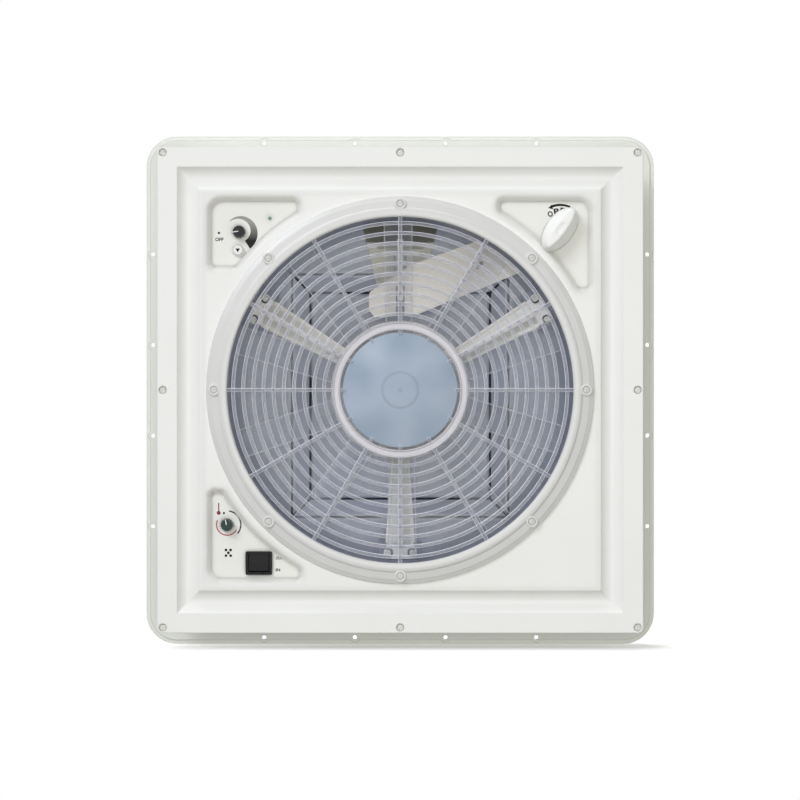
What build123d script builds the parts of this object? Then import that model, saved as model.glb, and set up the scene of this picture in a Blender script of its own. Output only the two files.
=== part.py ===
from build123d import *
import math
import os

# A powered roof vent for a caravan, in millimetres.
# The roof's outer skin is z = 0 and +Z points out of the roof.
# Seen from inside the caravan, +X is to the right and +Y is downwards.

os.makedirs("parts", exist_ok=True)

# Shared values
overrun = 1.0
press_gap = 0.02
running_gap = 0.05
seat_gap = 0.3
shank_gap = 0.1
head_taper = 14.0

# Roof and its cut-out
roof_thickness = 40.0
cutout_side = 400.0
cutout_gap = 2.0

# Outer flange, kerb, skirt and duct
flange_side = 470.0
flange_corner_r = 28.0
flange_thickness = 4.0
flange_step_inset = 3.7
flange_step_height = 1.6
mount_inset = 6.0
mount_pitch = 84.0
mount_holes_per_side = 4
mount_hole_r = 2.1
mount_boss_r = 4.6
skirt_wall = 4.0
skirt_corner_r = 14.0
skirt_end_gap = 2.0
kerb_height = 28.0
duct_r = 156.6
duct_wall = 3.0
duct_lip = 3.0
duct_end_gap = 6.0
duct_passage_gap = 0.4
duct_collar_width = 6.4
duct_collar = 2.0
duct_screw_count = 8
duct_screw_head_r = 2.4
duct_screw_head_height = 1.2
duct_screw_shank_r = 1.3
duct_screw_bite = 3.4
gusset_thickness = 3.0
gusset_foot = 10.0
gusset_height = 18.0
lug_depth = 13.0
lug_height = 6.0
lug_width = 40.0

# Inner frame
frame_side = 440.0
frame_corner_r = 5.0
frame_height = 12.0
frame_skin = 3.0
rim_width = 18.0
cove_width = 20.5
cove_depth = 5.0
recess_depth = 5.0
recess_margin = 6.3
recess_corner_r = 7.0
recess_outer_r = 13.0
recess_draft = 42.0
recess_arc_gap = 6.6
control_recess = (86.0, 67.5)
crank_recess = (88.7, 87.0)
switch_recess = (88.0, 86.0)
neck_gap = 0.6
neck_depth = 8.0
frame_screw_inset = 5.0
frame_boss_r = 4.6
frame_screw_head_r = 3.5
frame_screw_head_height = 2.2
frame_screw_shank_r = 2.0
frame_screw_reach = 10.0
frame_counterbore_depth = 3.0

# Guard grille
ring_outer_r = 175.6
ring_lip_width = 8.1
ring_lip_height = 5.2
ring_lip_edge = 1.4
ring_tread_width = 6.5
ring_tread_height = 3.6
ring_edge_height = 2.4
ring_edge_slope = 0.9
ring_boss_circle_r = 168.3
ring_boss_r = 5.4
ring_screw_count = 8
ring_screw_head_r = 3.2
ring_screw_head_height = 1.6
ring_screw_shank_r = 1.5
ring_screw_length = 10.0
spoke_count = 12
spoke_width = 3.4
spoke_height = 2.8
spoke_front_gap = 1.2
hoop_count = 10
hoop_first_r = 68.8
hoop_last_gap = 5.45
hoop_width = 3.4
hoop_height = 2.1
hoop_front_gap = 0.7
eye_r = 54.3
eye_width = 7.2
eye_wall = 1.5
eye_floor = 1.2
disc_gap = 2.1
disc_thickness = 1.4
bridge_reach = 3.0

# Fan rotor
blade_count = 10
blade_tip_gap = 4.7
blade_thickness = 1.6
blade_camber = 2.2
blade_root_chord = 32.0
blade_root_pitch = 42.0
blade_tip_chord = 29.4
blade_tip_pitch = 28.0
blade_start_angle = 17.4
rotor_front_gap = 8.0
hub_r = 52.0
hub_depth = 28.0
hub_wall = 2.0
hub_face = 2.5
hub_boss_r = 9.0
hub_rib_height = 5.0
hub_rib_thickness = 1.6
hub_bead_r = 16.3
hub_bead_width = 1.6
hub_bead_height = 0.8
motor_shaft_r = 4.0
shaft_nose = 5.0
nut_across_r = 7.0
nut_height = 3.5

# Motor carrier
arm_count = 3
arm_start_angle = 90.0
carrier_plate = 3.0
carrier_hub_r = 64.0
carrier_hub_bore = 13.0
carrier_rim_width = 6.0
carrier_arm_width = 27.0
carrier_ridge_width = 20.5
carrier_ridge_top = 5.0
carrier_ridge_height = 6.0
carrier_root_fillet = 14.0
carrier_foot_length = 15.0
carrier_screw_pitch = 22.0
carrier_screw_head_r = 3.2
carrier_screw_head_height = 2.0
carrier_screw_shank_r = 1.7
carrier_end_gap = 0.3
carrier_bead = 2.0

# Motor
motor_r = 38.0
motor_height = 28.0
motor_edge_r = 4.0
motor_slot_count = 8
motor_slot_width = 8.0
motor_slot_height = 10.0
motor_slot_depth = 3.0
cap_r = 30.0
cap_height = 6.0
cap_edge_r = 2.5
cap_socket_depth = 3.0
motor_screw_circle_r = 26.0
motor_screw_count = 3
motor_screw_head_r = 3.0
motor_screw_head_height = 2.2
motor_screw_shank_r = 1.6
motor_screw_length = 9.0

# Lid hinge and lifting linkage
hinge_height = 20.0
hinge_place_x = 84.0
bracket_width = 30.0
bracket_foot = 4.0
ear_thickness = 6.0
ear_r = 6.0
hinge_pin_r = 2.5
hinge_pin_head_r = 3.8
hinge_pin_head = 1.5
knuckle_r = 5.0
leaf_thickness = 4.0
leaf_pad_thickness = 3.0
leaf_pad_width = 34.0
leaf_pad_height = 18.0
leaf_screw_pitch = 24.0
leaf_screw_head_r = 2.8
leaf_screw_head_height = 1.6
leaf_screw_shank_r = 1.5
leaf_screw_reach = 2.4
hinge_stand = 14.2
lever_lid_angle = 50.0
lever_span = 119.0
lever_drop = 10.0
lever_thickness = 3.0
lever_rim_width = 2.5
lever_rim_height = 3.6
lever_rim_start = 15.0
lever_corner_r = 5.0
lever_hub_r = 9.0
lever_hub_width = 20.0
lever_hub_start = 78.0
lever_shaft_r = 5.0
lug_pin_r = 3.0
pin_lug_r = 5.5
pin_lug_width = 8.0
notch_start = 6.0
lever_hole_r = 2.0
lever_tongue = 8.0
lever_edge_shares = (
    (0.092, -0.37), (-0.109, -0.14), (-0.244, 0.02), (-0.244, 0.26), (-0.20, 0.36), (0.143, 0.31),
    (1.0, -0.30), (1.0, -0.47),
)
lever_throat_shares = (-0.53, -0.72)
lever_hole_shares = ((0.634, -0.384), (0.610, -0.33))
rail_thickness = 6.0
rail_side_gap = 1.0
rail_under_slot = 2.5
rail_end = 8.0
track_base_width = 75.0
track_base_foot_width = 44.0
track_base_end = 14.0
track_base_thickness = 4.0
track_tongue = 15.1
track_tongue_thickness = 2.0
track_step = 8.3
track_window = (2.0, 17.2)
track_window_start = 12.6
track_web_thickness = 3.0
track_web_height = 30.0
track_screw_pitch_x = 40.0
track_screw_pitch_y = 22.0
track_screw_inset = 11.0
track_screw_head_r = 2.8
track_screw_head_height = 1.6
track_screw_shank_r = 1.5
track_screw_reach = 2.2

# Kerb seal and dome
seal_height = 2.7
seal_edge_r = 1.4
lid_side = 428.0
lid_corner_r = 36.0
lid_wall = 3.0
lid_skirt_bottom = 10.0
crown_side = 380.0
crown_top_side = 340.0
crown_rise = 32.0
crown_corner_r = 30.0
crown_top_corner_r = 18.0
panel_width = 206.0
panel_length = 231.0
panel_bevel = 17.3
panel_rise = 6.0
panel_shift = 5.0

# Gearbox and crank
crank_inset_x = 37.1
crank_inset_y = 36.3
gear_centres = 15.0
gearbox_gap = 1.5
gearbox_side = 21.0
gearbox_back = 16.0
gearbox_front = 13.0
gearbox_height = 26.0
gearbox_corner_r = 5.0
gearbox_cover_thickness = 3.0
gearbox_screw_inset = 5.0
gearbox_screw_head_r = 3.0
gearbox_screw_head_height = 2.0
gearbox_screw_shank_r = 1.75
gearbox_screw_bite = 3.0
lever_shaft_end_gap = 9.0
crank_shaft_r = 4.0
crank_shaft_top_gap = 3.0
crank_passage_gap = 2.0
bush_r = 6.0
bush_flange_r = 9.0
bush_flange = 1.5
bush_length = 7.0
knob_length = 45.8
knob_width = 25.8
knob_ridge_width = 9.6
knob_ridge_length = 42.0
knob_height = 13.0
knob_collar_r = 11.0
knob_collar = 4.2
knob_turn = -54.0
knob_mark = (12.0, 5.0)
knob_mark_depth = 0.4
knob_roof = 4.0

# Small controls
speed_inset = (35.4, 38.1)
led_inset = (63.3, 25.7)
fuse_inset = (34.3, 54.5)
thermostat_inset = (24.5, 59.4)
switch_inset = (53.3, 24.6)
pot_r = 8.5
pot_height = 13.0
pot_bushing_r = 4.5
pot_bushing_stand = 1.5
dial_shaft_r = 3.0
dial_shaft_sink = 6.0
dial_r = 5.8
dial_height = 7.5
dial_taper = 4.0
dial_roof = 1.6
dial_pointer_width = 1.4
dial_pointer_height = 0.5
dial_flute_count = 12
dial_flute_r = 0.5
speed_rest_angle = 172.0
thermostat_rest_angle = -100.0
led_r = 1.5
led_stand = 1.0
led_flange_r = 2.4
led_flange = 1.5
fuse_cap_r = 5.2
fuse_cap_height = 3.5
fuse_cap_edge_r = 0.8
fuse_neck_r = 3.6
fuse_holder_r = 5.5
switch_bezel = (24.0, 21.3)
switch_bezel_height = 2.0
switch_bezel_corner_r = 1.5
switch_body_size = (21.0, 18.0)
switch_body_depth = 18.0
switch_well = (19.0, 16.0)
switch_well_depth = 10.0
rocker_gap = 0.5
rocker_tip_rise = 2.6
rocker_mid_rise = 0.9
rocker_root = 3.2
rocker_pivot_sink = 0.6
rocker_pin_r = 1.4
rocker_pin_reach = 0.7
rocker_tilt = 8.0
board_side = 76.0
board_gap = 6.0
board_thickness = 1.6
board_corner_r = 3.0
relay_size = (19.0, 15.5, 15.0)
terminal_size = (26.0, 9.0, 10.0)
terminal_hole_r = 1.4
terminal_hole_pitch = 5.0
terminal_hole_count = 5
board_part_inset = 12.0

# Places worked out from the sizes above
ceiling_z = -roof_thickness
front_z = ceiling_z - frame_height
skirt_side = cutout_side - 2 * cutout_gap
skirt_inner_side = skirt_side - 2 * skirt_wall
skirt_bottom_z = ceiling_z + skirt_end_gap
kerb_top_z = kerb_height
duct_outer_r = duct_r + duct_wall
duct_bottom_z = front_z + duct_end_gap
duct_top_z = flange_thickness + duct_lip
lug_bottom_z = flange_thickness - lug_height
mount_line = flange_side / 2 - mount_inset
plate_half = frame_side / 2 - rim_width - cove_width
cove_centre = plate_half + cove_width / 2
cove_r = (cove_width ** 2 / 4 + cove_depth ** 2) / (2 * cove_depth)
recess_z = front_z + recess_depth
floor_back_z = recess_z + frame_skin
neck_r = duct_outer_r + neck_gap
recess_arc_r = ring_outer_r + recess_arc_gap
frame_screw_line = frame_side / 2 - frame_screw_inset
grille_back_z = front_z
grille_front_z = front_z - spoke_front_gap - spoke_height
rotor_front_z = front_z + rotor_front_gap
hub_back_z = rotor_front_z + hub_depth
blade_tip_r = duct_r - blade_tip_gap
blade_mid_z = (rotor_front_z + hub_back_z) / 2
carrier_top_z = lug_bottom_z
carrier_bottom_z = carrier_top_z - carrier_plate
carrier_end_r = duct_r - carrier_end_gap
carrier_screw_r = duct_r - lug_depth / 2
motor_top_z = carrier_top_z + motor_height
crank_x = plate_half - crank_inset_x
crank_y = crank_inset_y - plate_half
lever_y = crank_y - gear_centres
hinge_y = -lid_side / 2 - hinge_stand
lever_radius = lever_y - hinge_y
pin_y = lever_y + lever_radius
pin_open_y = hinge_y + 2 * lever_radius * math.cos(math.radians(lever_lid_angle))
lever_plate_z = hinge_height - lever_drop
lever_hub_end = lever_hub_start + lever_hub_width
ledge_bottom_z = kerb_top_z + seal_height + seat_gap
ledge_top_z = ledge_bottom_z + lid_wall
crown_top_z = ledge_top_z + crown_rise
crown_ceiling_z = crown_top_z - lid_wall
gearbox_left = lever_hub_end + gearbox_gap
gearbox_right = crank_x + gearbox_side
gearbox_low_y = lever_y - gearbox_back
gearbox_high_y = crank_y + gearbox_front
gearbox_bottom_z = flange_thickness
gearbox_top_z = gearbox_bottom_z + gearbox_height
bush_flange_z = recess_z - bush_flange
knob_base_z = bush_flange_z - seat_gap
knob_ridge_base_z = knob_base_z - knob_collar
knob_top_z = knob_ridge_base_z - knob_height
speed_place = (speed_inset[0] - plate_half, speed_inset[1] - plate_half)
led_place = (led_inset[0] - plate_half, led_inset[1] - plate_half)
fuse_place = (fuse_inset[0] - plate_half, fuse_inset[1] - plate_half)
thermostat_place = (thermostat_inset[0] - plate_half, plate_half - thermostat_inset[1])
switch_place = (switch_inset[0] - plate_half, plate_half - switch_inset[1])
crank_place = (crank_x, crank_y)
board_z = floor_back_z + pot_height
board_centre = board_gap + board_side / 2 - skirt_inner_side / 2
hinge_places = (-hinge_place_x, hinge_place_x)


def facing_down(x, y, z):
    """A plane that looks down into the caravan, as a screw head there does."""
    return Plane(origin=(x, y, z), x_dir=(1, 0, 0), z_dir=(0, 0, -1))


def facing_up(x, y, z):
    """A plane that looks up and out of the roof."""
    return Plane(origin=(x, y, z), x_dir=(1, 0, 0), z_dir=(0, 0, 1))


def screw_set(seats, head_r, head_height, shank_r, length):
    """Pan-head screws, one on each seat, whose normal points out of the head."""
    with BuildPart() as screws:
        for seat in seats:
            with BuildSketch(seat):
                Circle(head_r)
            extrude(amount=head_height, taper=head_taper)
            with BuildSketch(seat):
                Circle(shank_r)
            extrude(amount=-length)
    return screws


def recess_outline(outline, corner, size, grow):
    """A rounded rectangle in one corner of the plate, cut back along the grille ring."""
    width = size[0] + 2 * grow
    length = size[1] + 2 * grow
    reach = plate_half - recess_margin + grow
    with Locations((corner[0] * (reach - width / 2), corner[1] * (reach - length / 2))):
        Rectangle(width, length)
    Circle(recess_arc_r - grow, mode=Mode.SUBTRACT)
    corners = outline.vertices().sort_by(lambda vertex: vertex.center().length)
    fillet(corners[:-1], recess_corner_r)
    outer = outline.vertices().sort_by(lambda vertex: vertex.center().length)
    fillet(outer[-1], recess_outer_r)


# Rows of four flange holes along each side, as seen from below
row_steps = [step - (mount_holes_per_side - 1) / 2 for step in range(mount_holes_per_side)]
mount_points = []
for step in row_steps:
    for side in (-1, 1):
        mount_points.append((step * mount_pitch, side * mount_line))
        mount_points.append((side * mount_line, step * mount_pitch))

# Angles at which the motor carrier's arms leave the hub
arm_angles = [arm_start_angle + 360 * arm / arm_count for arm in range(arm_count)]
carrier_screw_points = []
for arm_angle in arm_angles:
    along = math.radians(arm_angle)
    for side in (-1, 1):
        across = side * carrier_screw_pitch / 2
        carrier_screw_points.append((
            carrier_screw_r * math.cos(along) - across * math.sin(along),
            carrier_screw_r * math.sin(along) + across * math.cos(along),
        ))

# Screws that hold the duct's collar down on the deck
duct_screw_r = duct_outer_r + duct_collar_width / 2
duct_screw_points = [
    (duct_screw_r * math.cos(2 * math.pi * k / duct_screw_count),
     duct_screw_r * math.sin(2 * math.pi * k / duct_screw_count))
    for k in range(duct_screw_count)
]

# Screws that hold the gearbox and its cover down on the deck
gearbox_centre = ((gearbox_left + gearbox_right) / 2, (gearbox_low_y + gearbox_high_y) / 2)
gearbox_size = (gearbox_right - gearbox_left, gearbox_high_y - gearbox_low_y)
gearbox_screw_points = [
    (gearbox_centre[0] + i * (gearbox_size[0] / 2 - gearbox_screw_inset),
     gearbox_centre[1] + j * (gearbox_size[1] / 2 - gearbox_screw_inset))
    for i in (-1, 1) for j in (-1, 1)
]

# Roof frame: flange, kerb, skirt and deck in one moulding
with BuildPart() as roof_frame:
    with BuildSketch(Plane.XY.offset(flange_step_height)):
        RectangleRounded(flange_side, flange_side, flange_corner_r)
    extrude(amount=flange_thickness - flange_step_height)
    step_side = flange_side - 2 * flange_step_inset
    with BuildSketch():
        RectangleRounded(step_side, step_side, flange_corner_r - flange_step_inset)
        with Locations(*mount_points):
            Circle(mount_boss_r)
    extrude(amount=flange_step_height)
    with BuildSketch(Plane.XY.offset(skirt_bottom_z)):
        RectangleRounded(skirt_side, skirt_side, skirt_corner_r)
        RectangleRounded(skirt_inner_side, skirt_inner_side, skirt_corner_r - skirt_wall, mode=Mode.SUBTRACT)
    extrude(amount=kerb_top_z - skirt_bottom_z)
    with BuildSketch():
        Circle(duct_outer_r + duct_passage_gap)
    extrude(amount=flange_thickness, mode=Mode.SUBTRACT)
    for turn in range(4):
        outward = (math.cos(math.pi / 2 * turn), math.sin(math.pi / 2 * turn), 0)
        around = (-outward[1], outward[0], 0)
        for step in (-1, 0, 1):
            shift = 2 * step * mount_pitch
            foot = [skirt_side / 2 * outward[k] + shift * around[k] for k in (0, 1)]
            web = Plane(origin=(*foot, flange_thickness), x_dir=outward, z_dir=(outward[1], -outward[0], 0))
            with BuildSketch(web):
                with BuildLine():
                    Polyline((0, 0), (gusset_foot, 0), (0, gusset_height), close=True)
                make_face()
            extrude(amount=gusset_thickness / 2, both=True)
    with Locations(*[(x, y, flange_thickness) for x, y in mount_points]):
        Hole(mount_hole_r, depth=flange_thickness)
    with Locations((crank_x, crank_y, flange_thickness)):
        Hole(crank_shaft_r + crank_passage_gap, depth=flange_thickness)
    with Locations(*[(x, y, flange_thickness) for x, y in gearbox_screw_points]):
        Hole(gearbox_screw_shank_r + shank_gap, depth=gearbox_screw_bite)
    with Locations(*[(x, y, flange_thickness) for x, y in duct_screw_points]):
        Hole(duct_screw_shank_r + shank_gap, depth=duct_screw_bite + shank_gap)

# Fan duct: a tube with a collar on the deck and lugs for the motor carrier
with BuildPart() as fan_duct:
    with BuildSketch(Plane.XY.offset(duct_bottom_z)):
        Circle(duct_outer_r)
        Circle(duct_r, mode=Mode.SUBTRACT)
    extrude(amount=duct_top_z - duct_bottom_z)
    with BuildSketch(Plane.XY.offset(flange_thickness)):
        Circle(duct_outer_r + duct_collar_width)
        Circle(duct_r, mode=Mode.SUBTRACT)
        with Locations(*duct_screw_points):
            Circle(duct_screw_shank_r + shank_gap, mode=Mode.SUBTRACT)
    extrude(amount=duct_collar)
    with BuildSketch(Plane.XY.offset(lug_bottom_z)):
        with PolarLocations(duct_r - lug_depth / 2, arm_count, start_angle=arm_start_angle):
            Rectangle(lug_depth + 2 * duct_wall, lug_width)
        Circle(duct_r + duct_wall / 2, mode=Mode.INTERSECT)
        with Locations(*carrier_screw_points):
            Circle(carrier_screw_shank_r + shank_gap, mode=Mode.SUBTRACT)
    extrude(amount=lug_height)

duct_screws = screw_set(
    [facing_up(x, y, flange_thickness + duct_collar) for x, y in duct_screw_points],
    duct_screw_head_r,
    duct_screw_head_height,
    duct_screw_shank_r,
    duct_collar + duct_screw_bite,
)

# Hinge brackets: a foot and two ears each, on the flange behind the kerb
with BuildPart() as hinge_brackets:
    for place in hinge_places:
        with BuildSketch(Plane.XY.offset(flange_thickness)):
            with Locations((place, hinge_y + ear_r / 2)):
                Rectangle(bracket_width, 3 * ear_r)
        extrude(amount=bracket_foot)
        for side in (-1, 1):
            outer = place + side * (bracket_width - ear_thickness) / 2 - ear_thickness / 2
            with BuildSketch(Plane.YZ.offset(outer)):
                with Locations((hinge_y, hinge_height)):
                    Circle(ear_r)
                with Locations((hinge_y, (flange_thickness + hinge_height) / 2)):
                    Rectangle(2 * ear_r, hinge_height - flange_thickness)
                with Locations((hinge_y, hinge_height)):
                    Circle(hinge_pin_r + press_gap, mode=Mode.SUBTRACT)
            extrude(amount=ear_thickness)

with BuildPart() as hinge_pins:
    for place in hinge_places:
        with BuildSketch(Plane.YZ.offset(place - bracket_width / 2)):
            with Locations((hinge_y, hinge_height)):
                Circle(hinge_pin_r)
        extrude(amount=bracket_width)
        with BuildSketch(Plane.YZ.offset(place + bracket_width / 2)):
            with Locations((hinge_y, hinge_height)):
                Circle(hinge_pin_head_r)
        extrude(amount=hinge_pin_head)

# Kerb seal: a rubber strip with a rounded crown
with BuildPart() as kerb_seal:
    with BuildSketch(Plane.XY.offset(kerb_top_z)):
        RectangleRounded(skirt_side, skirt_side, skirt_corner_r)
        RectangleRounded(skirt_inner_side, skirt_inner_side, skirt_corner_r - skirt_wall, mode=Mode.SUBTRACT)
    extrude(amount=seal_height)
    fillet(kerb_seal.edges().group_by(Axis.Z)[-1], seal_edge_r)

# Inner frame: a thin moulding with a coved border, three recesses and a neck round the duct
frame_screw_points = [
    (i * frame_screw_line, j * frame_screw_line)
    for i in (-1, 0, 1) for j in (-1, 0, 1) if (i, j) != (0, 0)
]
ring_screw_points = [
    (ring_boss_circle_r * math.cos(2 * math.pi * k / ring_screw_count),
     ring_boss_circle_r * math.sin(2 * math.pi * k / ring_screw_count))
    for k in range(ring_screw_count)
]
recesses = (((-1, -1), control_recess), ((1, -1), crank_recess), ((-1, 1), switch_recess))
with BuildPart() as inner_frame:
    with BuildSketch(Plane.XY.offset(front_z)):
        RectangleRounded(frame_side, frame_side, frame_corner_r)
    extrude(amount=frame_height)
    with BuildSketch(Plane.XY.offset(front_z + frame_skin)):
        inside = frame_side - 2 * frame_skin
        RectangleRounded(inside, inside, frame_corner_r - frame_skin)
    extrude(amount=frame_height - frame_skin, mode=Mode.SUBTRACT)
    with BuildSketch(Plane.XY.offset(front_z)):
        outer_side = 2 * (cove_centre + cove_width / 2 + frame_skin)
        inner_side = 2 * (cove_centre - cove_width / 2 - frame_skin)
        Rectangle(outer_side, outer_side)
        Rectangle(inner_side, inner_side, mode=Mode.SUBTRACT)
    extrude(amount=cove_depth + frame_skin)
    with BuildSketch(Plane.XY.offset(front_z)):
        Circle(neck_r + frame_skin)
    extrude(amount=neck_depth)
    for corner, size in recesses:
        with BuildSketch(Plane.XY.offset(front_z)) as pan:
            recess_outline(pan, corner, size, frame_skin)
        extrude(amount=recess_depth + frame_skin, taper=recess_draft)
    with BuildSketch(Plane.XY.offset(front_z)):
        with Locations(*frame_screw_points):
            Circle(frame_boss_r)
    extrude(amount=frame_height)
    with BuildSketch(Plane.XY.offset(front_z)):
        with Locations(*ring_screw_points):
            Circle(ring_boss_r - neck_gap)
    extrude(amount=ring_screw_length + frame_skin - ring_boss_r / 2)
    # The parts that the cove, the recesses, the neck and the screws take away
    with BuildLine() as cove_path:
        Polyline(
            (cove_centre, 0, front_z), (cove_centre, cove_centre, front_z),
            (-cove_centre, cove_centre, front_z), (-cove_centre, -cove_centre, front_z),
            (cove_centre, -cove_centre, front_z), (cove_centre, 0, front_z),
        )
    with BuildSketch(Plane(origin=(cove_centre, 0, front_z), x_dir=(1, 0, 0), z_dir=(0, 1, 0))):
        with Locations((0, cove_r - cove_depth)):
            Circle(cove_r)
    sweep(path=cove_path.wires()[0], transition=Transition.RIGHT, mode=Mode.SUBTRACT)
    for corner, size in recesses:
        with BuildSketch(Plane.XY.offset(front_z)) as hollow:
            recess_outline(hollow, corner, size, 0)
        extrude(amount=recess_depth, taper=recess_draft, mode=Mode.SUBTRACT)
    with BuildSketch(Plane.XY.offset(front_z)):
        Circle(neck_r)
    extrude(amount=frame_height, mode=Mode.SUBTRACT)
    with Locations(*[facing_down(x, y, front_z) for x, y in frame_screw_points]):
        CounterBoreHole(
            frame_screw_shank_r + shank_gap,
            frame_screw_head_r + shank_gap,
            frame_counterbore_depth,
            depth=frame_height,
        )
    with Locations(*[facing_down(x, y, front_z) for x, y in ring_screw_points]):
        Hole(ring_screw_shank_r + shank_gap, depth=ring_screw_length)
    with Locations(*[facing_down(*place, recess_z) for place in (speed_place, thermostat_place)]):
        Hole(pot_bushing_r + shank_gap, depth=frame_skin)
    with Locations(facing_down(*led_place, recess_z)):
        Hole(led_r + shank_gap, depth=frame_skin)
    with Locations(facing_down(*fuse_place, recess_z)):
        Hole(fuse_neck_r + shank_gap, depth=frame_skin)
    with Locations(facing_down(*crank_place, recess_z)):
        Hole(bush_r + shank_gap, depth=frame_skin)
    with BuildSketch(Plane.XY.offset(recess_z)):
        with Locations(switch_place):
            Rectangle(switch_body_size[0] + 2 * shank_gap, switch_body_size[1] + 2 * shank_gap)
    extrude(amount=frame_skin, mode=Mode.SUBTRACT)

inner_frame_screws = screw_set(
    [facing_down(x, y, front_z + frame_counterbore_depth) for x, y in frame_screw_points],
    frame_screw_head_r,
    frame_screw_head_height,
    frame_screw_shank_r,
    frame_height - frame_counterbore_depth + frame_screw_reach,
)

# Guard grille: a stepped ring, spokes, hoops and an open eye over the fan hub
with BuildPart() as guard_grille:
    lip_outer_r = duct_r + ring_lip_width
    tread_outer_r = lip_outer_r + ring_tread_width
    with BuildSketch(Plane.XZ):
        with BuildLine():
            Polyline(
                (duct_r, grille_back_z),
                (duct_r, grille_back_z - ring_lip_height + ring_lip_edge),
                (duct_r + ring_lip_edge, grille_back_z - ring_lip_height),
                (lip_outer_r - ring_lip_edge, grille_back_z - ring_lip_height),
                (lip_outer_r, grille_back_z - ring_tread_height),
                (tread_outer_r, grille_back_z - ring_tread_height),
                (tread_outer_r + ring_edge_slope, grille_back_z - ring_edge_height),
                (ring_outer_r - ring_edge_slope, grille_back_z - ring_edge_height),
                (ring_outer_r, grille_back_z),
                close=True,
            )
        make_face()
    revolve(axis=Axis.Z)
    with BuildSketch(Plane.XY.offset(grille_back_z - ring_lip_height)):
        with Locations(*ring_screw_points):
            Circle(ring_boss_r)
    extrude(amount=ring_lip_height)
    hoop_pitch = (duct_r - hoop_last_gap - hoop_first_r) / (hoop_count - 1)
    hoop_radii = [hoop_first_r + k * hoop_pitch for k in range(hoop_count)]
    with BuildSketch(Plane.XY.offset(grille_back_z - hoop_front_gap - hoop_height)):
        for hoop_r in hoop_radii:
            with BuildSketch(mode=Mode.PRIVATE) as hoop:
                Circle(hoop_r + hoop_width / 2)
                Circle(hoop_r - hoop_width / 2, mode=Mode.SUBTRACT)
            add(hoop.sketch)
    extrude(amount=hoop_height)
    spoke_start_r = eye_r + eye_width - eye_wall / 2
    spoke_length = duct_r + ring_lip_edge - spoke_start_r
    with BuildSketch(Plane.XY.offset(grille_front_z)):
        with PolarLocations(spoke_start_r + spoke_length / 2, spoke_count):
            Rectangle(spoke_length, spoke_width)
        with BuildSketch(mode=Mode.PRIVATE) as eye:
            Circle(eye_r + eye_width)
            Circle(eye_r + eye_width - eye_wall, mode=Mode.SUBTRACT)
            with BuildSketch(mode=Mode.PRIVATE) as inner_wall:
                Circle(eye_r + eye_wall)
                Circle(eye_r, mode=Mode.SUBTRACT)
            add(inner_wall.sketch)
        add(eye.sketch)
    extrude(amount=spoke_height)
    with BuildSketch(Plane.XY.offset(grille_front_z + spoke_height - eye_floor)):
        Circle(eye_r + eye_width)
        Circle(eye_r, mode=Mode.SUBTRACT)
    extrude(amount=eye_floor)
    with BuildSketch(Plane.XY.offset(grille_front_z + spoke_height - disc_thickness)):
        Circle(eye_r - disc_gap)
        with PolarLocations(eye_r - disc_gap / 2, spoke_count):
            Rectangle(disc_gap + 2 * eye_wall, spoke_width)
    extrude(amount=disc_thickness)
    with BuildSketch(Plane.XY.offset(grille_front_z)):
        with PolarLocations(eye_r - disc_gap - bridge_reach / 2 + eye_wall / 2, spoke_count):
            Rectangle(bridge_reach + eye_wall + 2 * disc_gap, spoke_width)
    extrude(amount=spoke_height - disc_thickness / 2)
    with Locations(*[facing_down(x, y, grille_back_z - ring_lip_height) for x, y in ring_screw_points]):
        CounterBoreHole(
            ring_screw_shank_r + shank_gap,
            ring_screw_head_r + shank_gap,
            ring_screw_head_height,
            depth=ring_lip_height,
        )

ring_screw_seat_z = grille_back_z - ring_lip_height + ring_screw_head_height
grille_screws = screw_set(
    [facing_down(x, y, ring_screw_seat_z) for x, y in ring_screw_points],
    ring_screw_head_r,
    ring_screw_head_height,
    ring_screw_shank_r,
    ring_screw_length,
)

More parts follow.
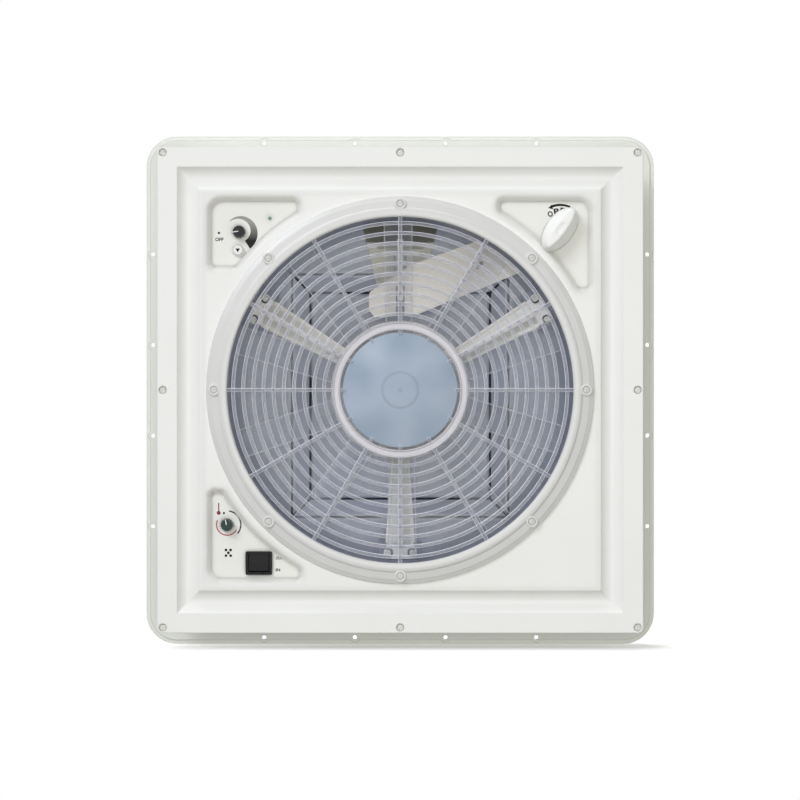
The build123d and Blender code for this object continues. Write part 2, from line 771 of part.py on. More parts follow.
# Fan rotor: a ribbed cup with cambered, twisted blades
with BuildPart() as fan_rotor:
    with BuildSketch(Plane.XY.offset(rotor_front_z)):
        Circle(hub_r)
    extrude(amount=hub_depth)
    with BuildSketch(Plane.XY.offset(rotor_front_z + hub_face)):
        Circle(hub_r - hub_wall)
    extrude(amount=hub_depth - hub_face, mode=Mode.SUBTRACT)
    with BuildSketch(Plane.XY.offset(rotor_front_z)):
        Circle(hub_boss_r)
    extrude(amount=hub_depth - hub_face)
    with BuildSketch(Plane.XY.offset(rotor_front_z + hub_face)):
        with PolarLocations(hub_r / 2, blade_count, start_angle=blade_start_angle):
            Rectangle(hub_r - hub_wall, hub_rib_thickness)
    extrude(amount=hub_rib_height)
    with BuildSketch(Plane.XY.offset(rotor_front_z - hub_bead_height)):
        Circle(hub_bead_r)
        Circle(hub_bead_r - hub_bead_width, mode=Mode.SUBTRACT)
    extrude(amount=hub_bead_height)
    for blade in range(blade_count):
        blade_angle = math.radians(blade_start_angle + 360 * blade / blade_count)
        outward = (math.cos(blade_angle), math.sin(blade_angle), 0)
        around = (-math.sin(blade_angle), math.cos(blade_angle), 0)
        stations = (
            (hub_r - hub_wall / 2, blade_root_chord, blade_root_pitch),
            (blade_tip_r, blade_tip_chord, blade_tip_pitch),
        )
        for station_r, chord, pitch in stations:
            centre = (station_r * outward[0], station_r * outward[1], blade_mid_z)
            lean = math.radians(pitch)
            chordwise = (around[0] * math.cos(lean), around[1] * math.cos(lean), math.sin(lean))
            with BuildSketch(Plane(origin=centre, x_dir=chordwise, z_dir=outward)):
                with BuildLine():
                    lower = ThreePointArc((-chord / 2, 0), (0, blade_camber), (chord / 2, 0))
                    upper = ThreePointArc(
                        (-chord / 2, blade_thickness),
                        (0, blade_camber + blade_thickness),
                        (chord / 2, blade_thickness),
                    )
                    Line(lower @ 0, upper @ 0)
                    Line(lower @ 1, upper @ 1)
                make_face()
        loft()
    with BuildSketch(Plane.XY.offset(rotor_front_z)):
        Circle(motor_shaft_r + press_gap)
    extrude(amount=hub_depth, mode=Mode.SUBTRACT)

with BuildPart() as hub_nut:
    with BuildSketch(Plane.XY.offset(rotor_front_z - nut_height)):
        RegularPolygon(nut_across_r, 6)
        Circle(motor_shaft_r + press_gap, mode=Mode.SUBTRACT)
    extrude(amount=nut_height)

with BuildPart() as motor_shaft:
    shaft_bottom_z = rotor_front_z - shaft_nose
    shaft_top_z = motor_top_z + cap_socket_depth - seat_gap
    with BuildSketch(Plane.XY.offset(shaft_bottom_z)):
        Circle(motor_shaft_r)
    extrude(amount=shaft_top_z - shaft_bottom_z)
    chamfer(motor_shaft.edges().group_by(Axis.Z)[0], seat_gap)

# Motor carrier: three ridged arms from a rimmed hub to feet under the duct's lugs
with BuildPart() as motor_carrier:
    with BuildSketch(Plane.XY.offset(carrier_bottom_z)) as spider:
        Circle(carrier_hub_r)
        with PolarLocations(carrier_end_r / 2, arm_count, start_angle=arm_start_angle):
            Rectangle(carrier_end_r, carrier_arm_width)
        roots = [v for v in spider.vertices() if abs(v.center().length) < carrier_hub_r + overrun]
        fillet(roots, carrier_root_fillet)
        with PolarLocations(carrier_end_r - carrier_foot_length / 2, arm_count, start_angle=arm_start_angle):
            Rectangle(carrier_foot_length, lug_width)
        Circle(carrier_end_r, mode=Mode.INTERSECT)
        Circle(carrier_hub_bore, mode=Mode.SUBTRACT)
    extrude(amount=carrier_plate)
    with BuildSketch(Plane.XY.offset(carrier_bottom_z - carrier_ridge_height)):
        Circle(carrier_hub_r)
        Circle(carrier_hub_r - carrier_rim_width, mode=Mode.SUBTRACT)
    extrude(amount=carrier_ridge_height)
    for arm_angle in arm_angles:
        along = math.radians(arm_angle)
        outward = (math.cos(along), math.sin(along), 0)
        start_r = carrier_hub_r - carrier_rim_width / 2
        root = (start_r * outward[0], start_r * outward[1], carrier_bottom_z)
        around = (-outward[1], outward[0], 0)
        with BuildSketch(Plane(origin=root, x_dir=around, z_dir=outward)):
            with BuildLine():
                Polyline(
                    (-carrier_ridge_width / 2, 0),
                    (-carrier_ridge_top / 2, -carrier_ridge_height),
                    (carrier_ridge_top / 2, -carrier_ridge_height),
                    (carrier_ridge_width / 2, 0),
                    close=True,
                )
            make_face()
        extrude(amount=carrier_end_r - carrier_foot_length - start_r)
        for side in (-1, 1):
            edge = side * (carrier_arm_width - carrier_bead) / 2
            with BuildSketch(Plane(origin=root, x_dir=around, z_dir=outward)):
                with Locations((edge, -carrier_bead / 2)):
                    Rectangle(carrier_bead, carrier_bead)
            extrude(amount=carrier_end_r - carrier_foot_length - start_r)
    with Locations(*[facing_down(x, y, carrier_bottom_z) for x, y in carrier_screw_points]):
        Hole(carrier_screw_shank_r + shank_gap, depth=carrier_plate)
    with PolarLocations(motor_screw_circle_r, motor_screw_count, start_angle=arm_start_angle):
        Hole(motor_screw_shank_r + shank_gap)

carrier_screws = screw_set(
    [facing_down(x, y, carrier_bottom_z) for x, y in carrier_screw_points],
    carrier_screw_head_r,
    carrier_screw_head_height,
    carrier_screw_shank_r,
    carrier_plate + lug_height - seat_gap,
)

# Motor: a pressed can with cooling slots and a domed end cap
motor_screw_points = [
    (motor_screw_circle_r * math.cos(math.radians(arm_start_angle + 360 * k / motor_screw_count)),
     motor_screw_circle_r * math.sin(math.radians(arm_start_angle + 360 * k / motor_screw_count)))
    for k in range(motor_screw_count)
]
with BuildPart() as motor_can:
    with BuildSketch(Plane.XY.offset(carrier_top_z)):
        Circle(motor_r)
    extrude(amount=motor_height)
    fillet(motor_can.edges().group_by(Axis.Z)[-1], motor_edge_r)
    slot_z = (carrier_top_z + motor_top_z) / 2
    for slot in range(motor_slot_count):
        angle = 2 * math.pi * slot / motor_slot_count
        outward = (math.cos(angle), math.sin(angle), 0)
        spot = (motor_r * outward[0], motor_r * outward[1], slot_z)
        with BuildSketch(Plane(origin=spot, x_dir=(-outward[1], outward[0], 0), z_dir=outward)):
            Rectangle(motor_slot_width, motor_slot_height)
        extrude(amount=-motor_slot_depth, mode=Mode.SUBTRACT)
    with BuildSketch(Plane.XY.offset(carrier_top_z)):
        Circle(motor_shaft_r + running_gap)
    extrude(amount=motor_height, mode=Mode.SUBTRACT)
    with Locations(*[facing_down(x, y, carrier_top_z) for x, y in motor_screw_points]):
        Hole(motor_screw_shank_r + shank_gap, depth=motor_screw_length)

with BuildPart() as motor_end_cap:
    with BuildSketch(Plane.XY.offset(motor_top_z)):
        Circle(cap_r)
    extrude(amount=cap_height)
    fillet(motor_end_cap.edges().group_by(Axis.Z)[-1], cap_edge_r)
    with BuildSketch(Plane.XY.offset(motor_top_z)):
        Circle(motor_shaft_r + running_gap)
    extrude(amount=cap_socket_depth, mode=Mode.SUBTRACT)

motor_screws = screw_set(
    [facing_down(x, y, carrier_bottom_z) for x, y in motor_screw_points],
    motor_screw_head_r,
    motor_screw_head_height,
    motor_screw_shank_r,
    motor_screw_length,
)

# Gearbox: a closed housing that carries the crank and the lift arm's shaft
with BuildPart() as gearbox_housing:
    with BuildSketch(Plane.XY.offset(gearbox_bottom_z)):
        with Locations(gearbox_centre):
            RectangleRounded(*gearbox_size, gearbox_corner_r)
    extrude(amount=gearbox_height)
    with BuildSketch(Plane.XY.offset(gearbox_bottom_z)):
        with Locations(crank_place):
            Circle(crank_shaft_r + running_gap)
    extrude(amount=gearbox_height - crank_shaft_top_gap + seat_gap, mode=Mode.SUBTRACT)
    with BuildSketch(Plane.YZ.offset(gearbox_left)):
        with Locations((lever_y, hinge_height)):
            Circle(lever_shaft_r + running_gap)
    extrude(amount=crank_x - lever_shaft_end_gap + seat_gap - gearbox_left, mode=Mode.SUBTRACT)
    with Locations(*[facing_up(x, y, gearbox_top_z) for x, y in gearbox_screw_points]):
        Hole(gearbox_screw_shank_r + shank_gap, depth=gearbox_height)

with BuildPart() as gearbox_cover:
    with BuildSketch(Plane.XY.offset(gearbox_top_z)):
        with Locations(gearbox_centre):
            RectangleRounded(*gearbox_size, gearbox_corner_r)
    extrude(amount=gearbox_cover_thickness)
    chamfer(gearbox_cover.edges().group_by(Axis.Z)[-1], gearbox_cover_thickness / 3)
    gearbox_screw_seats = [
        facing_up(x, y, gearbox_top_z + gearbox_cover_thickness) for x, y in gearbox_screw_points
    ]
    with Locations(*gearbox_screw_seats):
        Hole(gearbox_screw_shank_r + shank_gap, depth=gearbox_cover_thickness)

gearbox_screws = screw_set(
    gearbox_screw_seats,
    gearbox_screw_head_r,
    gearbox_screw_head_height,
    gearbox_screw_shank_r,
    gearbox_cover_thickness + gearbox_height + gearbox_screw_bite - seat_gap,
)

# Crank: an oval grip on a long shaft through a bush
with BuildPart() as crank_bush:
    with BuildSketch(Plane.XY.offset(bush_flange_z)):
        with Locations(crank_place):
            Circle(bush_flange_r)
    extrude(amount=bush_flange)
    with BuildSketch(Plane.XY.offset(recess_z)):
        with Locations(crank_place):
            Circle(bush_r)
    extrude(amount=bush_length)
    with BuildSketch(Plane.XY.offset(bush_flange_z)):
        with Locations(crank_place):
            Circle(crank_shaft_r + running_gap)
    extrude(amount=bush_flange + bush_length, mode=Mode.SUBTRACT)

with BuildPart() as crank_shaft:
    with BuildSketch(Plane.XY.offset(knob_top_z + knob_roof)):
        with Locations(crank_place):
            Circle(crank_shaft_r)
    extrude(amount=gearbox_top_z - crank_shaft_top_gap - knob_top_z - knob_roof)

with BuildPart() as crank_knob:
    grip_base = Plane(
        origin=(crank_x, crank_y, knob_ridge_base_z),
        x_dir=(math.cos(math.radians(knob_turn)), math.sin(math.radians(knob_turn)), 0),
        z_dir=(0, 0, -1),
    )
    with BuildSketch(grip_base):
        Ellipse(knob_length / 2, knob_width / 2)
    with BuildSketch(grip_base.offset(knob_height)):
        Ellipse(knob_ridge_length / 2, knob_ridge_width / 2)
    loft()
    with BuildSketch(Plane.XY.offset(knob_ridge_base_z)):
        with Locations(crank_place):
            Circle(knob_collar_r)
    extrude(amount=knob_collar)
    with BuildSketch(grip_base.offset(knob_height)):
        Ellipse(knob_mark[0] / 2, knob_mark[1] / 2)
    extrude(amount=-knob_mark_depth, mode=Mode.SUBTRACT)
    with BuildSketch(Plane.XY.offset(knob_top_z + knob_roof)):
        with Locations(crank_place):
            Circle(crank_shaft_r + press_gap)
    extrude(amount=knob_base_z - knob_top_z - knob_roof, mode=Mode.SUBTRACT)

# Lift arm: a wide notched lever, a shaft from the gearbox and a pin in the lid's track
lever_points = [(x * lever_span, pin_y + y * lever_radius) for x, y in lever_edge_shares]
lever_points += [
    (lever_hub_end, pin_y + lever_throat_shares[0] * lever_radius),
    (lever_hub_end, lever_y - lever_tongue),
    (lever_hub_start, lever_y - lever_tongue),
    (lever_hub_start, pin_y + lever_throat_shares[1] * lever_radius),
]
with BuildPart() as lift_arm:
    with BuildSketch(Plane.XY.offset(lever_plate_z)) as lever_outline:
        with BuildLine():
            Polyline(*lever_points, close=True)
        make_face()
        fillet(lever_outline.vertices().group_by(Axis.X)[0], lever_corner_r)
    extrude(amount=lever_thickness)
    with BuildSketch(Plane.XY.offset(lever_plate_z + lever_thickness)) as lever_rim:
        with BuildLine():
            Polyline(*lever_points, close=True)
        make_face()
        offset(amount=-lever_rim_width, mode=Mode.SUBTRACT)
        with Locations((lever_rim_start - lever_span, pin_y)):
            Rectangle(2 * lever_span, 2 * lever_radius, mode=Mode.SUBTRACT)
        with Locations((lever_hub_start + lever_hub_width / 2, lever_y)):
            Rectangle(lever_hub_width, 2 * lever_hub_r + 2 * lever_rim_width, mode=Mode.SUBTRACT)
    extrude(amount=lever_rim_height)
    with BuildSketch(Plane.YZ.offset(lever_hub_start)):
        with Locations((lever_y, hinge_height)):
            Circle(lever_hub_r)
    extrude(amount=lever_hub_width)
    for side in (-1, 1):
        inner_face = side * (rail_thickness / 2 + rail_side_gap)
        with BuildSketch(Plane.YZ.offset(inner_face)):
            with Locations((pin_y, hinge_height)):
                Circle(pin_lug_r)
            with Locations((pin_y, (lever_plate_z + hinge_height) / 2)):
                Rectangle(2 * pin_lug_r, hinge_height - lever_plate_z)
        extrude(amount=side * pin_lug_width)
    notch_width = rail_thickness + 2 * rail_side_gap
    with BuildSketch(Plane.XY.offset(lever_plate_z)):
        with Locations((0, pin_y - notch_start + lever_radius / 2)):
            Rectangle(notch_width, lever_radius)
    extrude(amount=2 * lever_drop, mode=Mode.SUBTRACT)
    with BuildSketch(Plane.YZ.offset(-lever_span)):
        with Locations((pin_y, hinge_height)):
            Circle(lug_pin_r + press_gap)
    extrude(amount=2 * lever_span - lever_hub_width, mode=Mode.SUBTRACT)
    with BuildSketch(Plane.YZ.offset(lever_hub_start)):
        with Locations((lever_y, hinge_height)):
            Circle(lever_shaft_r + press_gap)
    extrude(amount=lever_hub_width, mode=Mode.SUBTRACT)
    with BuildSketch(Plane.XY.offset(lever_plate_z)):
        with Locations(*[(x * lever_span, pin_y + y * lever_radius) for x, y in lever_hole_shares]):
            Circle(lever_hole_r)
    extrude(amount=lever_thickness, mode=Mode.SUBTRACT)

with BuildPart() as arm_shaft:
    with BuildSketch(Plane.YZ.offset(lever_hub_start)):
        with Locations((lever_y, hinge_height)):
            Circle(lever_shaft_r)
    extrude(amount=crank_x - lever_shaft_end_gap - lever_hub_start)

pin_reach = rail_thickness / 2 + rail_side_gap + pin_lug_width
with BuildPart() as slide_pin:
    with BuildSketch(Plane.YZ.offset(-pin_reach)):
        with Locations((pin_y, hinge_height)):
            Circle(lug_pin_r)
    extrude(amount=2 * pin_reach)

# Track bracket: a stepped foot under the dome and a slotted rail for the lift arm's pin
track_low_y = pin_open_y - rail_end
track_high_y = pin_y + rail_end
foot_z = crown_ceiling_z - track_base_thickness
tongue_z = crown_ceiling_z - track_tongue_thickness
tongue_y = track_low_y - track_tongue
foot_low_y = track_low_y + track_step
foot_high_y = track_high_y - track_base_end
track_screw_points = [
    (i * track_screw_pitch_x / 2, foot_low_y + track_screw_inset + j * track_screw_pitch_y)
    for i in (-1, 1) for j in (0, 1)
]


def track_points(low_y):
    """Corners of the bracket's tapering outline, from a low edge to the end of its foot."""
    lean = (track_base_width - track_base_foot_width) / (foot_high_y - tongue_y)
    low_width = track_base_foot_width + lean * (foot_high_y - low_y)
    return (
        (-low_width / 2, low_y),
        (low_width / 2, low_y),
        (track_base_foot_width / 2, foot_high_y),
        (-track_base_foot_width / 2, foot_high_y),
    )


with BuildPart() as track_bracket:
    with BuildSketch(Plane.XY.offset(tongue_z)) as tongue:
        with BuildLine():
            Polyline(*track_points(tongue_y), close=True)
        make_face()
        fillet(tongue.vertices(), lever_corner_r)
    extrude(amount=track_tongue_thickness)
    with BuildSketch(Plane.XY.offset(foot_z)) as foot:
        with BuildLine():
            Polyline(*track_points(foot_low_y), close=True)
        make_face()
        fillet(foot.vertices(), lever_corner_r)
    extrude(amount=track_base_thickness)
    window_y = foot_low_y + track_window_start + track_window[1] / 2
    with BuildSketch(Plane.XY.offset(foot_z)):
        with Locations((0, window_y)):
            with GridLocations(rail_thickness + 2 * track_window[0], 0, 2, 1):
                Rectangle(*track_window)
    extrude(amount=track_base_thickness, mode=Mode.SUBTRACT)
    with BuildSketch(Plane.YZ.offset(-rail_thickness / 2)):
        rail_bottom_z = hinge_height - lug_pin_r - running_gap - rail_under_slot
        with BuildLine():
            Polyline(
                (track_low_y, rail_bottom_z),
                (track_high_y, rail_bottom_z),
                (track_high_y, hinge_height + pin_lug_r),
                (foot_high_y, foot_z),
                (foot_high_y, tongue_z),
                (track_low_y, tongue_z),
                close=True,
            )
        make_face()
        with Locations(((pin_open_y + pin_y) / 2, hinge_height)):
            SlotCenterToCenter(pin_y - pin_open_y, 2 * (lug_pin_r + running_gap), mode=Mode.SUBTRACT)
    extrude(amount=rail_thickness)
    with BuildSketch(Plane.XZ.offset(-(track_low_y + track_base_end))):
        with BuildLine():
            Polyline(
                (-track_base_foot_width / 2, foot_z),
                (0, foot_z - track_web_height),
                (track_base_foot_width / 2, foot_z),
                close=True,
            )
        make_face()
    extrude(amount=track_web_thickness)
    with Locations(*[facing_down(x, y, foot_z) for x, y in track_screw_points]):
        Hole(track_screw_shank_r + shank_gap, depth=track_base_thickness)

track_screws = screw_set(
    [facing_down(x, y, foot_z) for x, y in track_screw_points],
    track_screw_head_r,
    track_screw_head_height,
    track_screw_shank_r,
    track_base_thickness + track_screw_reach,
)

# Dome: skirt, ledge, sloping crown and a raised panel with a mitred bevel
leaf_screw_points = [
    (place + side * leaf_screw_pitch / 2, -lid_side / 2 - leaf_pad_thickness, hinge_height)
    for place in hinge_places for side in (-1, 1)
]
leaf_screw_seats = [Plane(origin=point, x_dir=(1, 0, 0), z_dir=(0, -1, 0)) for point in leaf_screw_points]


def panel_sketch(shrink):
    """The raised panel's outline, drawn in from its outer edge."""
    with Locations((0, panel_shift)):
        Rectangle(panel_width - 2 * shrink, panel_length - 2 * shrink)


with BuildPart() as dome:
    with BuildSketch(Plane.XY.offset(lid_skirt_bottom)):
        RectangleRounded(lid_side, lid_side, lid_corner_r)
    extrude(amount=ledge_top_z - lid_skirt_bottom)
    with BuildSketch(Plane.XY.offset(ledge_top_z)):
        RectangleRounded(crown_side, crown_side, crown_corner_r)
    with BuildSketch(Plane.XY.offset(crown_top_z)):
        RectangleRounded(crown_top_side, crown_top_side, crown_top_corner_r)
    loft()
    with BuildSketch(Plane.XY.offset(crown_top_z)):
        panel_sketch(0)
    with BuildSketch(Plane.XY.offset(crown_top_z + panel_rise)):
        panel_sketch(panel_bevel)
    loft()
    lid_inside = lid_side - 2 * lid_wall
    with BuildSketch(Plane.XY.offset(lid_skirt_bottom)):
        RectangleRounded(lid_inside, lid_inside, lid_corner_r - lid_wall)
    extrude(amount=ledge_bottom_z - lid_skirt_bottom, mode=Mode.SUBTRACT)
    crown_inside = crown_side - 2 * lid_wall
    with BuildSketch(Plane.XY.offset(ledge_bottom_z)):
        RectangleRounded(crown_inside, crown_inside, crown_corner_r - lid_wall)
    extrude(amount=lid_wall, mode=Mode.SUBTRACT)
    with BuildSketch(Plane.XY.offset(ledge_top_z)):
        RectangleRounded(crown_inside, crown_inside, crown_corner_r - lid_wall)
    crown_inside_top = crown_top_side - 2 * lid_wall
    with BuildSketch(Plane.XY.offset(crown_ceiling_z)):
        RectangleRounded(crown_inside_top, crown_inside_top, crown_top_corner_r - lid_wall)
    loft(mode=Mode.SUBTRACT)
    with BuildSketch(Plane.XY.offset(crown_ceiling_z)):
        panel_sketch(lid_wall)
    with BuildSketch(Plane.XY.offset(crown_ceiling_z + panel_rise)):
        panel_sketch(panel_bevel + lid_wall)
    loft(mode=Mode.SUBTRACT)
    with Locations(*[facing_down(x, y, crown_ceiling_z) for x, y in track_screw_points]):
        Hole(track_screw_shank_r + shank_gap, depth=track_screw_reach + shank_gap)
    with Locations(*[seat.offset(-leaf_pad_thickness) for seat in leaf_screw_seats]):
        Hole(leaf_screw_shank_r + shank_gap, depth=leaf_screw_reach + shank_gap)

# Hinge leaves: a knuckle between the ears and a pad on the lid's skirt
with BuildPart() as hinge_leaves:
    knuckle_width = bracket_width - 2 * ear_thickness - 2 * seat_gap
    for place in hinge_places:
        with BuildSketch(Plane.YZ.offset(place - knuckle_width / 2)):
            with Locations((hinge_y, hinge_height)):
                Circle(knuckle_r)
            reach = -lid_side / 2 - hinge_y
            with Locations((hinge_y + reach / 2, hinge_height)):
                Rectangle(reach, leaf_thickness)
            with Locations((hinge_y, hinge_height)):
                Circle(hinge_pin_r + running_gap, mode=Mode.SUBTRACT)
        extrude(amount=knuckle_width)
        with BuildSketch(Plane.XZ.offset(lid_side / 2)):
            with Locations((place, hinge_height)):
                RectangleRounded(leaf_pad_width, leaf_pad_height, leaf_pad_thickness)
        extrude(amount=leaf_pad_thickness)
    with Locations(*leaf_screw_seats):
        Hole(leaf_screw_shank_r + shank_gap, depth=leaf_pad_thickness)

leaf_screws = screw_set(
    leaf_screw_seats,
    leaf_screw_head_r,
    leaf_screw_head_height,
    leaf_screw_shank_r,
    leaf_pad_thickness + leaf_screw_reach,
)


def dial_pot(place):
    """A rotary control behind the recess, with its bushing through the floor."""
    with BuildPart() as pot:
        with BuildSketch(Plane.XY.offset(floor_back_z)):
            with Locations(place):
                Circle(pot_r)
        extrude(amount=pot_height)
        with BuildSketch(Plane.XY.offset(recess_z - pot_bushing_stand)):
            with Locations(place):
                Circle(pot_bushing_r)
        extrude(amount=pot_bushing_stand + frame_skin)
        with BuildSketch(Plane.XY.offset(recess_z - pot_bushing_stand)):
            with Locations(place):
                Circle(dial_shaft_r + running_gap)
        extrude(amount=pot_bushing_stand + frame_skin + dial_shaft_sink + seat_gap, mode=Mode.SUBTRACT)
    return pot


dial_base_z = recess_z - pot_bushing_stand - seat_gap
dial_top_z = dial_base_z - dial_height


def dial_shaft(place):
    """The control's shaft, from inside the pot to inside the knob."""
    with BuildPart() as shaft:
        with BuildSketch(Plane.XY.offset(dial_top_z + dial_roof)):
            with Locations(place):
                Circle(dial_shaft_r)
        extrude(amount=floor_back_z + dial_shaft_sink - dial_top_z - dial_roof)
    return shaft


def dial_knob(place, rest_angle):
    """A small fluted knob with a raised pointer."""
    angle = math.radians(rest_angle)
    pointing = (math.cos(angle), math.sin(angle), 0)
    with BuildPart() as knob:
        with BuildSketch(facing_down(*place, dial_base_z)):
            Circle(dial_r)
            with PolarLocations(dial_r, dial_flute_count):
                Circle(dial_flute_r, mode=Mode.SUBTRACT)
        extrude(amount=dial_height, taper=dial_taper)
        top = Plane(origin=(*place, dial_top_z), x_dir=pointing, z_dir=(0, 0, -1))
        with BuildSketch(top):
            with Locations((dial_r / 3, 0)):
                Rectangle(dial_r, dial_pointer_width)
        extrude(amount=dial_pointer_height)
        with BuildSketch(Plane.XY.offset(dial_top_z + dial_roof)):
            with Locations(place):
                Circle(dial_shaft_r + press_gap)
        extrude(amount=dial_height - dial_roof, mode=Mode.SUBTRACT)
    return knob


speed_pot = dial_pot(speed_place)
speed_shaft = dial_shaft(speed_place)
speed_knob = dial_knob(speed_place, speed_rest_angle)
thermostat_pot = dial_pot(thermostat_place)
thermostat_shaft = dial_shaft(thermostat_place)
thermostat_knob = dial_knob(thermostat_place, thermostat_rest_angle)

# Power light: a domed pin with a flange behind the floor
with BuildPart() as power_led:
    with BuildSketch(facing_down(*led_place, floor_back_z)):
        Circle(led_r)
    extrude(amount=frame_skin + led_stand)
    fillet(power_led.edges().group_by(Axis.Z)[0], led_r / 2)
    with BuildSketch(Plane.XY.offset(floor_back_z)):
        with Locations(led_place):
            Circle(led_flange_r)
    extrude(amount=led_flange)

# Fuse: a round cap in front of the floor, its holder behind
with BuildPart() as fuse_cap:
    with BuildSketch(facing_down(*fuse_place, recess_z)):
        Circle(fuse_cap_r)
    extrude(amount=fuse_cap_height)
    fillet(fuse_cap.edges().group_by(Axis.Z)[0], fuse_cap_edge_r)
    with BuildSketch(Plane.XY.offset(recess_z)):
        with Locations(fuse_place):
            Circle(fuse_neck_r)
    extrude(amount=frame_skin + pot_height / 2)

with BuildPart() as fuse_holder:
    with BuildSketch(Plane.XY.offset(floor_back_z)):
        with Locations(fuse_place):
            Circle(fuse_holder_r)
    extrude(amount=pot_height)
    with BuildSketch(Plane.XY.offset(floor_back_z)):
        with Locations(fuse_place):
            Circle(fuse_neck_r + shank_gap)
    extrude(amount=pot_height / 2 + shank_gap, mode=Mode.SUBTRACT)

# Direction switch: a bezel with a well, and a rocker on two stub pins
with BuildPart() as switch_body:
    with BuildSketch(Plane.XY.offset(recess_z - switch_bezel_height)):
        with Locations(switch_place):
            RectangleRounded(*switch_bezel, switch_bezel_corner_r)
    extrude(amount=switch_bezel_height)
    with BuildSketch(Plane.XY.offset(recess_z)):
        with Locations(switch_place):
            Rectangle(*switch_body_size)
    extrude(amount=switch_body_depth)
    with BuildSketch(Plane.XY.offset(recess_z - switch_bezel_height)):
        with Locations(switch_place):
            Rectangle(*switch_well)
    extrude(amount=switch_well_depth, mode=Mode.SUBTRACT)
    pivot_z = recess_z + rocker_pivot_sink
    socket_reach = rocker_pin_reach + rocker_gap + seat_gap
    with BuildSketch(Plane.YZ.offset(switch_place[0] - switch_well[0] / 2 + rocker_gap - socket_reach)):
        with Locations((switch_place[1], pivot_z)):
            Circle(rocker_pin_r + running_gap)
    extrude(amount=switch_well[0] - 2 * rocker_gap + 2 * socket_reach, mode=Mode.SUBTRACT)

rocker_width = switch_well[0] - 2 * rocker_gap
rocker_length = switch_well[1] - 2 * rocker_gap
with BuildPart() as switch_rocker:
    rocker_plane = Plane(
        origin=(switch_place[0] - rocker_width / 2, switch_place[1], pivot_z),
        x_dir=(0, math.cos(math.radians(rocker_tilt)), -math.sin(math.radians(rocker_tilt))),
        z_dir=(1, 0, 0),
    )
    face_height = rocker_pivot_sink + switch_bezel_height
    with BuildSketch(rocker_plane):
        with BuildLine():
            Polyline(
                (-rocker_length / 2, rocker_root / 2),
                (-rocker_length / 2, -face_height - rocker_tip_rise / 2),
                (0, -face_height - rocker_mid_rise / 2),
                (rocker_length / 2, -face_height - rocker_tip_rise / 2),
                (rocker_length / 2, rocker_root / 2),
                (0, rocker_root),
                close=True,
            )
        make_face()
    extrude(amount=rocker_width)
    with BuildSketch(Plane.YZ.offset(switch_place[0] - rocker_width / 2 - rocker_pin_reach)):
        with Locations((switch_place[1], pivot_z)):
            Circle(rocker_pin_r)
    extrude(amount=rocker_width + 2 * rocker_pin_reach)

# Control board with its relay and terminals, on the backs of the speed control and the fuse holder
with BuildPart() as control_board:
    with BuildSketch(Plane.XY.offset(board_z)):
        with Locations((board_centre, board_centre)):
            RectangleRounded(board_side, board_side, board_corner_r)
    extrude(amount=board_thickness)

with BuildPart() as relay:
    corner = board_centre - board_side / 2 + board_part_inset
    with BuildSketch(Plane.XY.offset(board_z + board_thickness)):
        with Locations((corner + relay_size[0] / 2, corner + relay_size[1] / 2)):
            Rectangle(relay_size[0], relay_size[1])
    extrude(amount=relay_size[2])
    chamfer(relay.edges().group_by(Axis.Z)[-1], seat_gap)

with BuildPart() as terminal_block:
    far_x = board_centre + board_side / 2 - board_part_inset - terminal_size[0] / 2
    near_y = board_centre - board_side / 2 + board_part_inset
    with BuildSketch(Plane.XY.offset(board_z + board_thickness)):
        with Locations((far_x, near_y)):
            Rectangle(terminal_size[0], terminal_size[1])
    extrude(amount=terminal_size[2])
    block_top = board_z + board_thickness + terminal_size[2]
    with Locations((far_x, near_y, block_top)):
        with GridLocations(terminal_hole_pitch, 0, terminal_hole_count, 1):
            Hole(terminal_hole_r, depth=terminal_size[2] / 2)

pieces = {
    "roof_frame": roof_frame,
    "fan_duct": fan_duct,
    "duct_screws": duct_screws,
    "hinge_brackets": hinge_brackets,
    "hinge_pins": hinge_pins,
    "kerb_seal": kerb_seal,
    "inner_frame": inner_frame,
    "inner_frame_screws": inner_frame_screws,
    "guard_grille": guard_grille,
    "grille_screws": grille_screws,
    "motor_carrier": motor_carrier,
    "carrier_screws": carrier_screws,
    "motor_can": motor_can,
    "motor_end_cap": motor_end_cap,
    "motor_screws": motor_screws,
    "gearbox_housing": gearbox_housing,
    "gearbox_cover": gearbox_cover,
    "gearbox_screws": gearbox_screws,
    "crank_bush": crank_bush,
    "speed_pot": speed_pot,
    "thermostat_pot": thermostat_pot,
    "power_led": power_led,
    "fuse_cap": fuse_cap,
    "fuse_holder": fuse_holder,
    "switch_body": switch_body,
    "control_board": control_board,
    "relay": relay,
    "terminal_block": terminal_block,
    "fan_rotor": fan_rotor,
    "motor_shaft": motor_shaft,
    "hub_nut": hub_nut,
    "crank_knob": crank_knob,
    "crank_shaft": crank_shaft,
    "lift_arm": lift_arm,
    "arm_shaft": arm_shaft,
    "slide_pin": slide_pin,
    "dome": dome,
    "track_bracket": track_bracket,
    "track_screws": track_screws,
    "hinge_leaves": hinge_leaves,
    "leaf_screws": leaf_screws,
    "speed_knob": speed_knob,
    "speed_shaft": speed_shaft,
    "thermostat_knob": thermostat_knob,
    "thermostat_shaft": thermostat_shaft,
    "switch_rocker": switch_rocker,
}
for name, piece in pieces.items():
    piece.part.label = name
    export_step(piece.part, f"parts/{name}.step")
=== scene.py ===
# %% [markdown]
# # A powered roof vent, seen from inside the caravan
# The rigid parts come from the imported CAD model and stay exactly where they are. This lesson gives them
# the finish of the real plastics and metals, and models the small parts whose rounded edges, cross
# recesses or printing matter to the eye. Lengths are written in millimetres and turned to metres, which
# is Blender's unit here. +Z points out of the roof, so the room is on the -Z side.

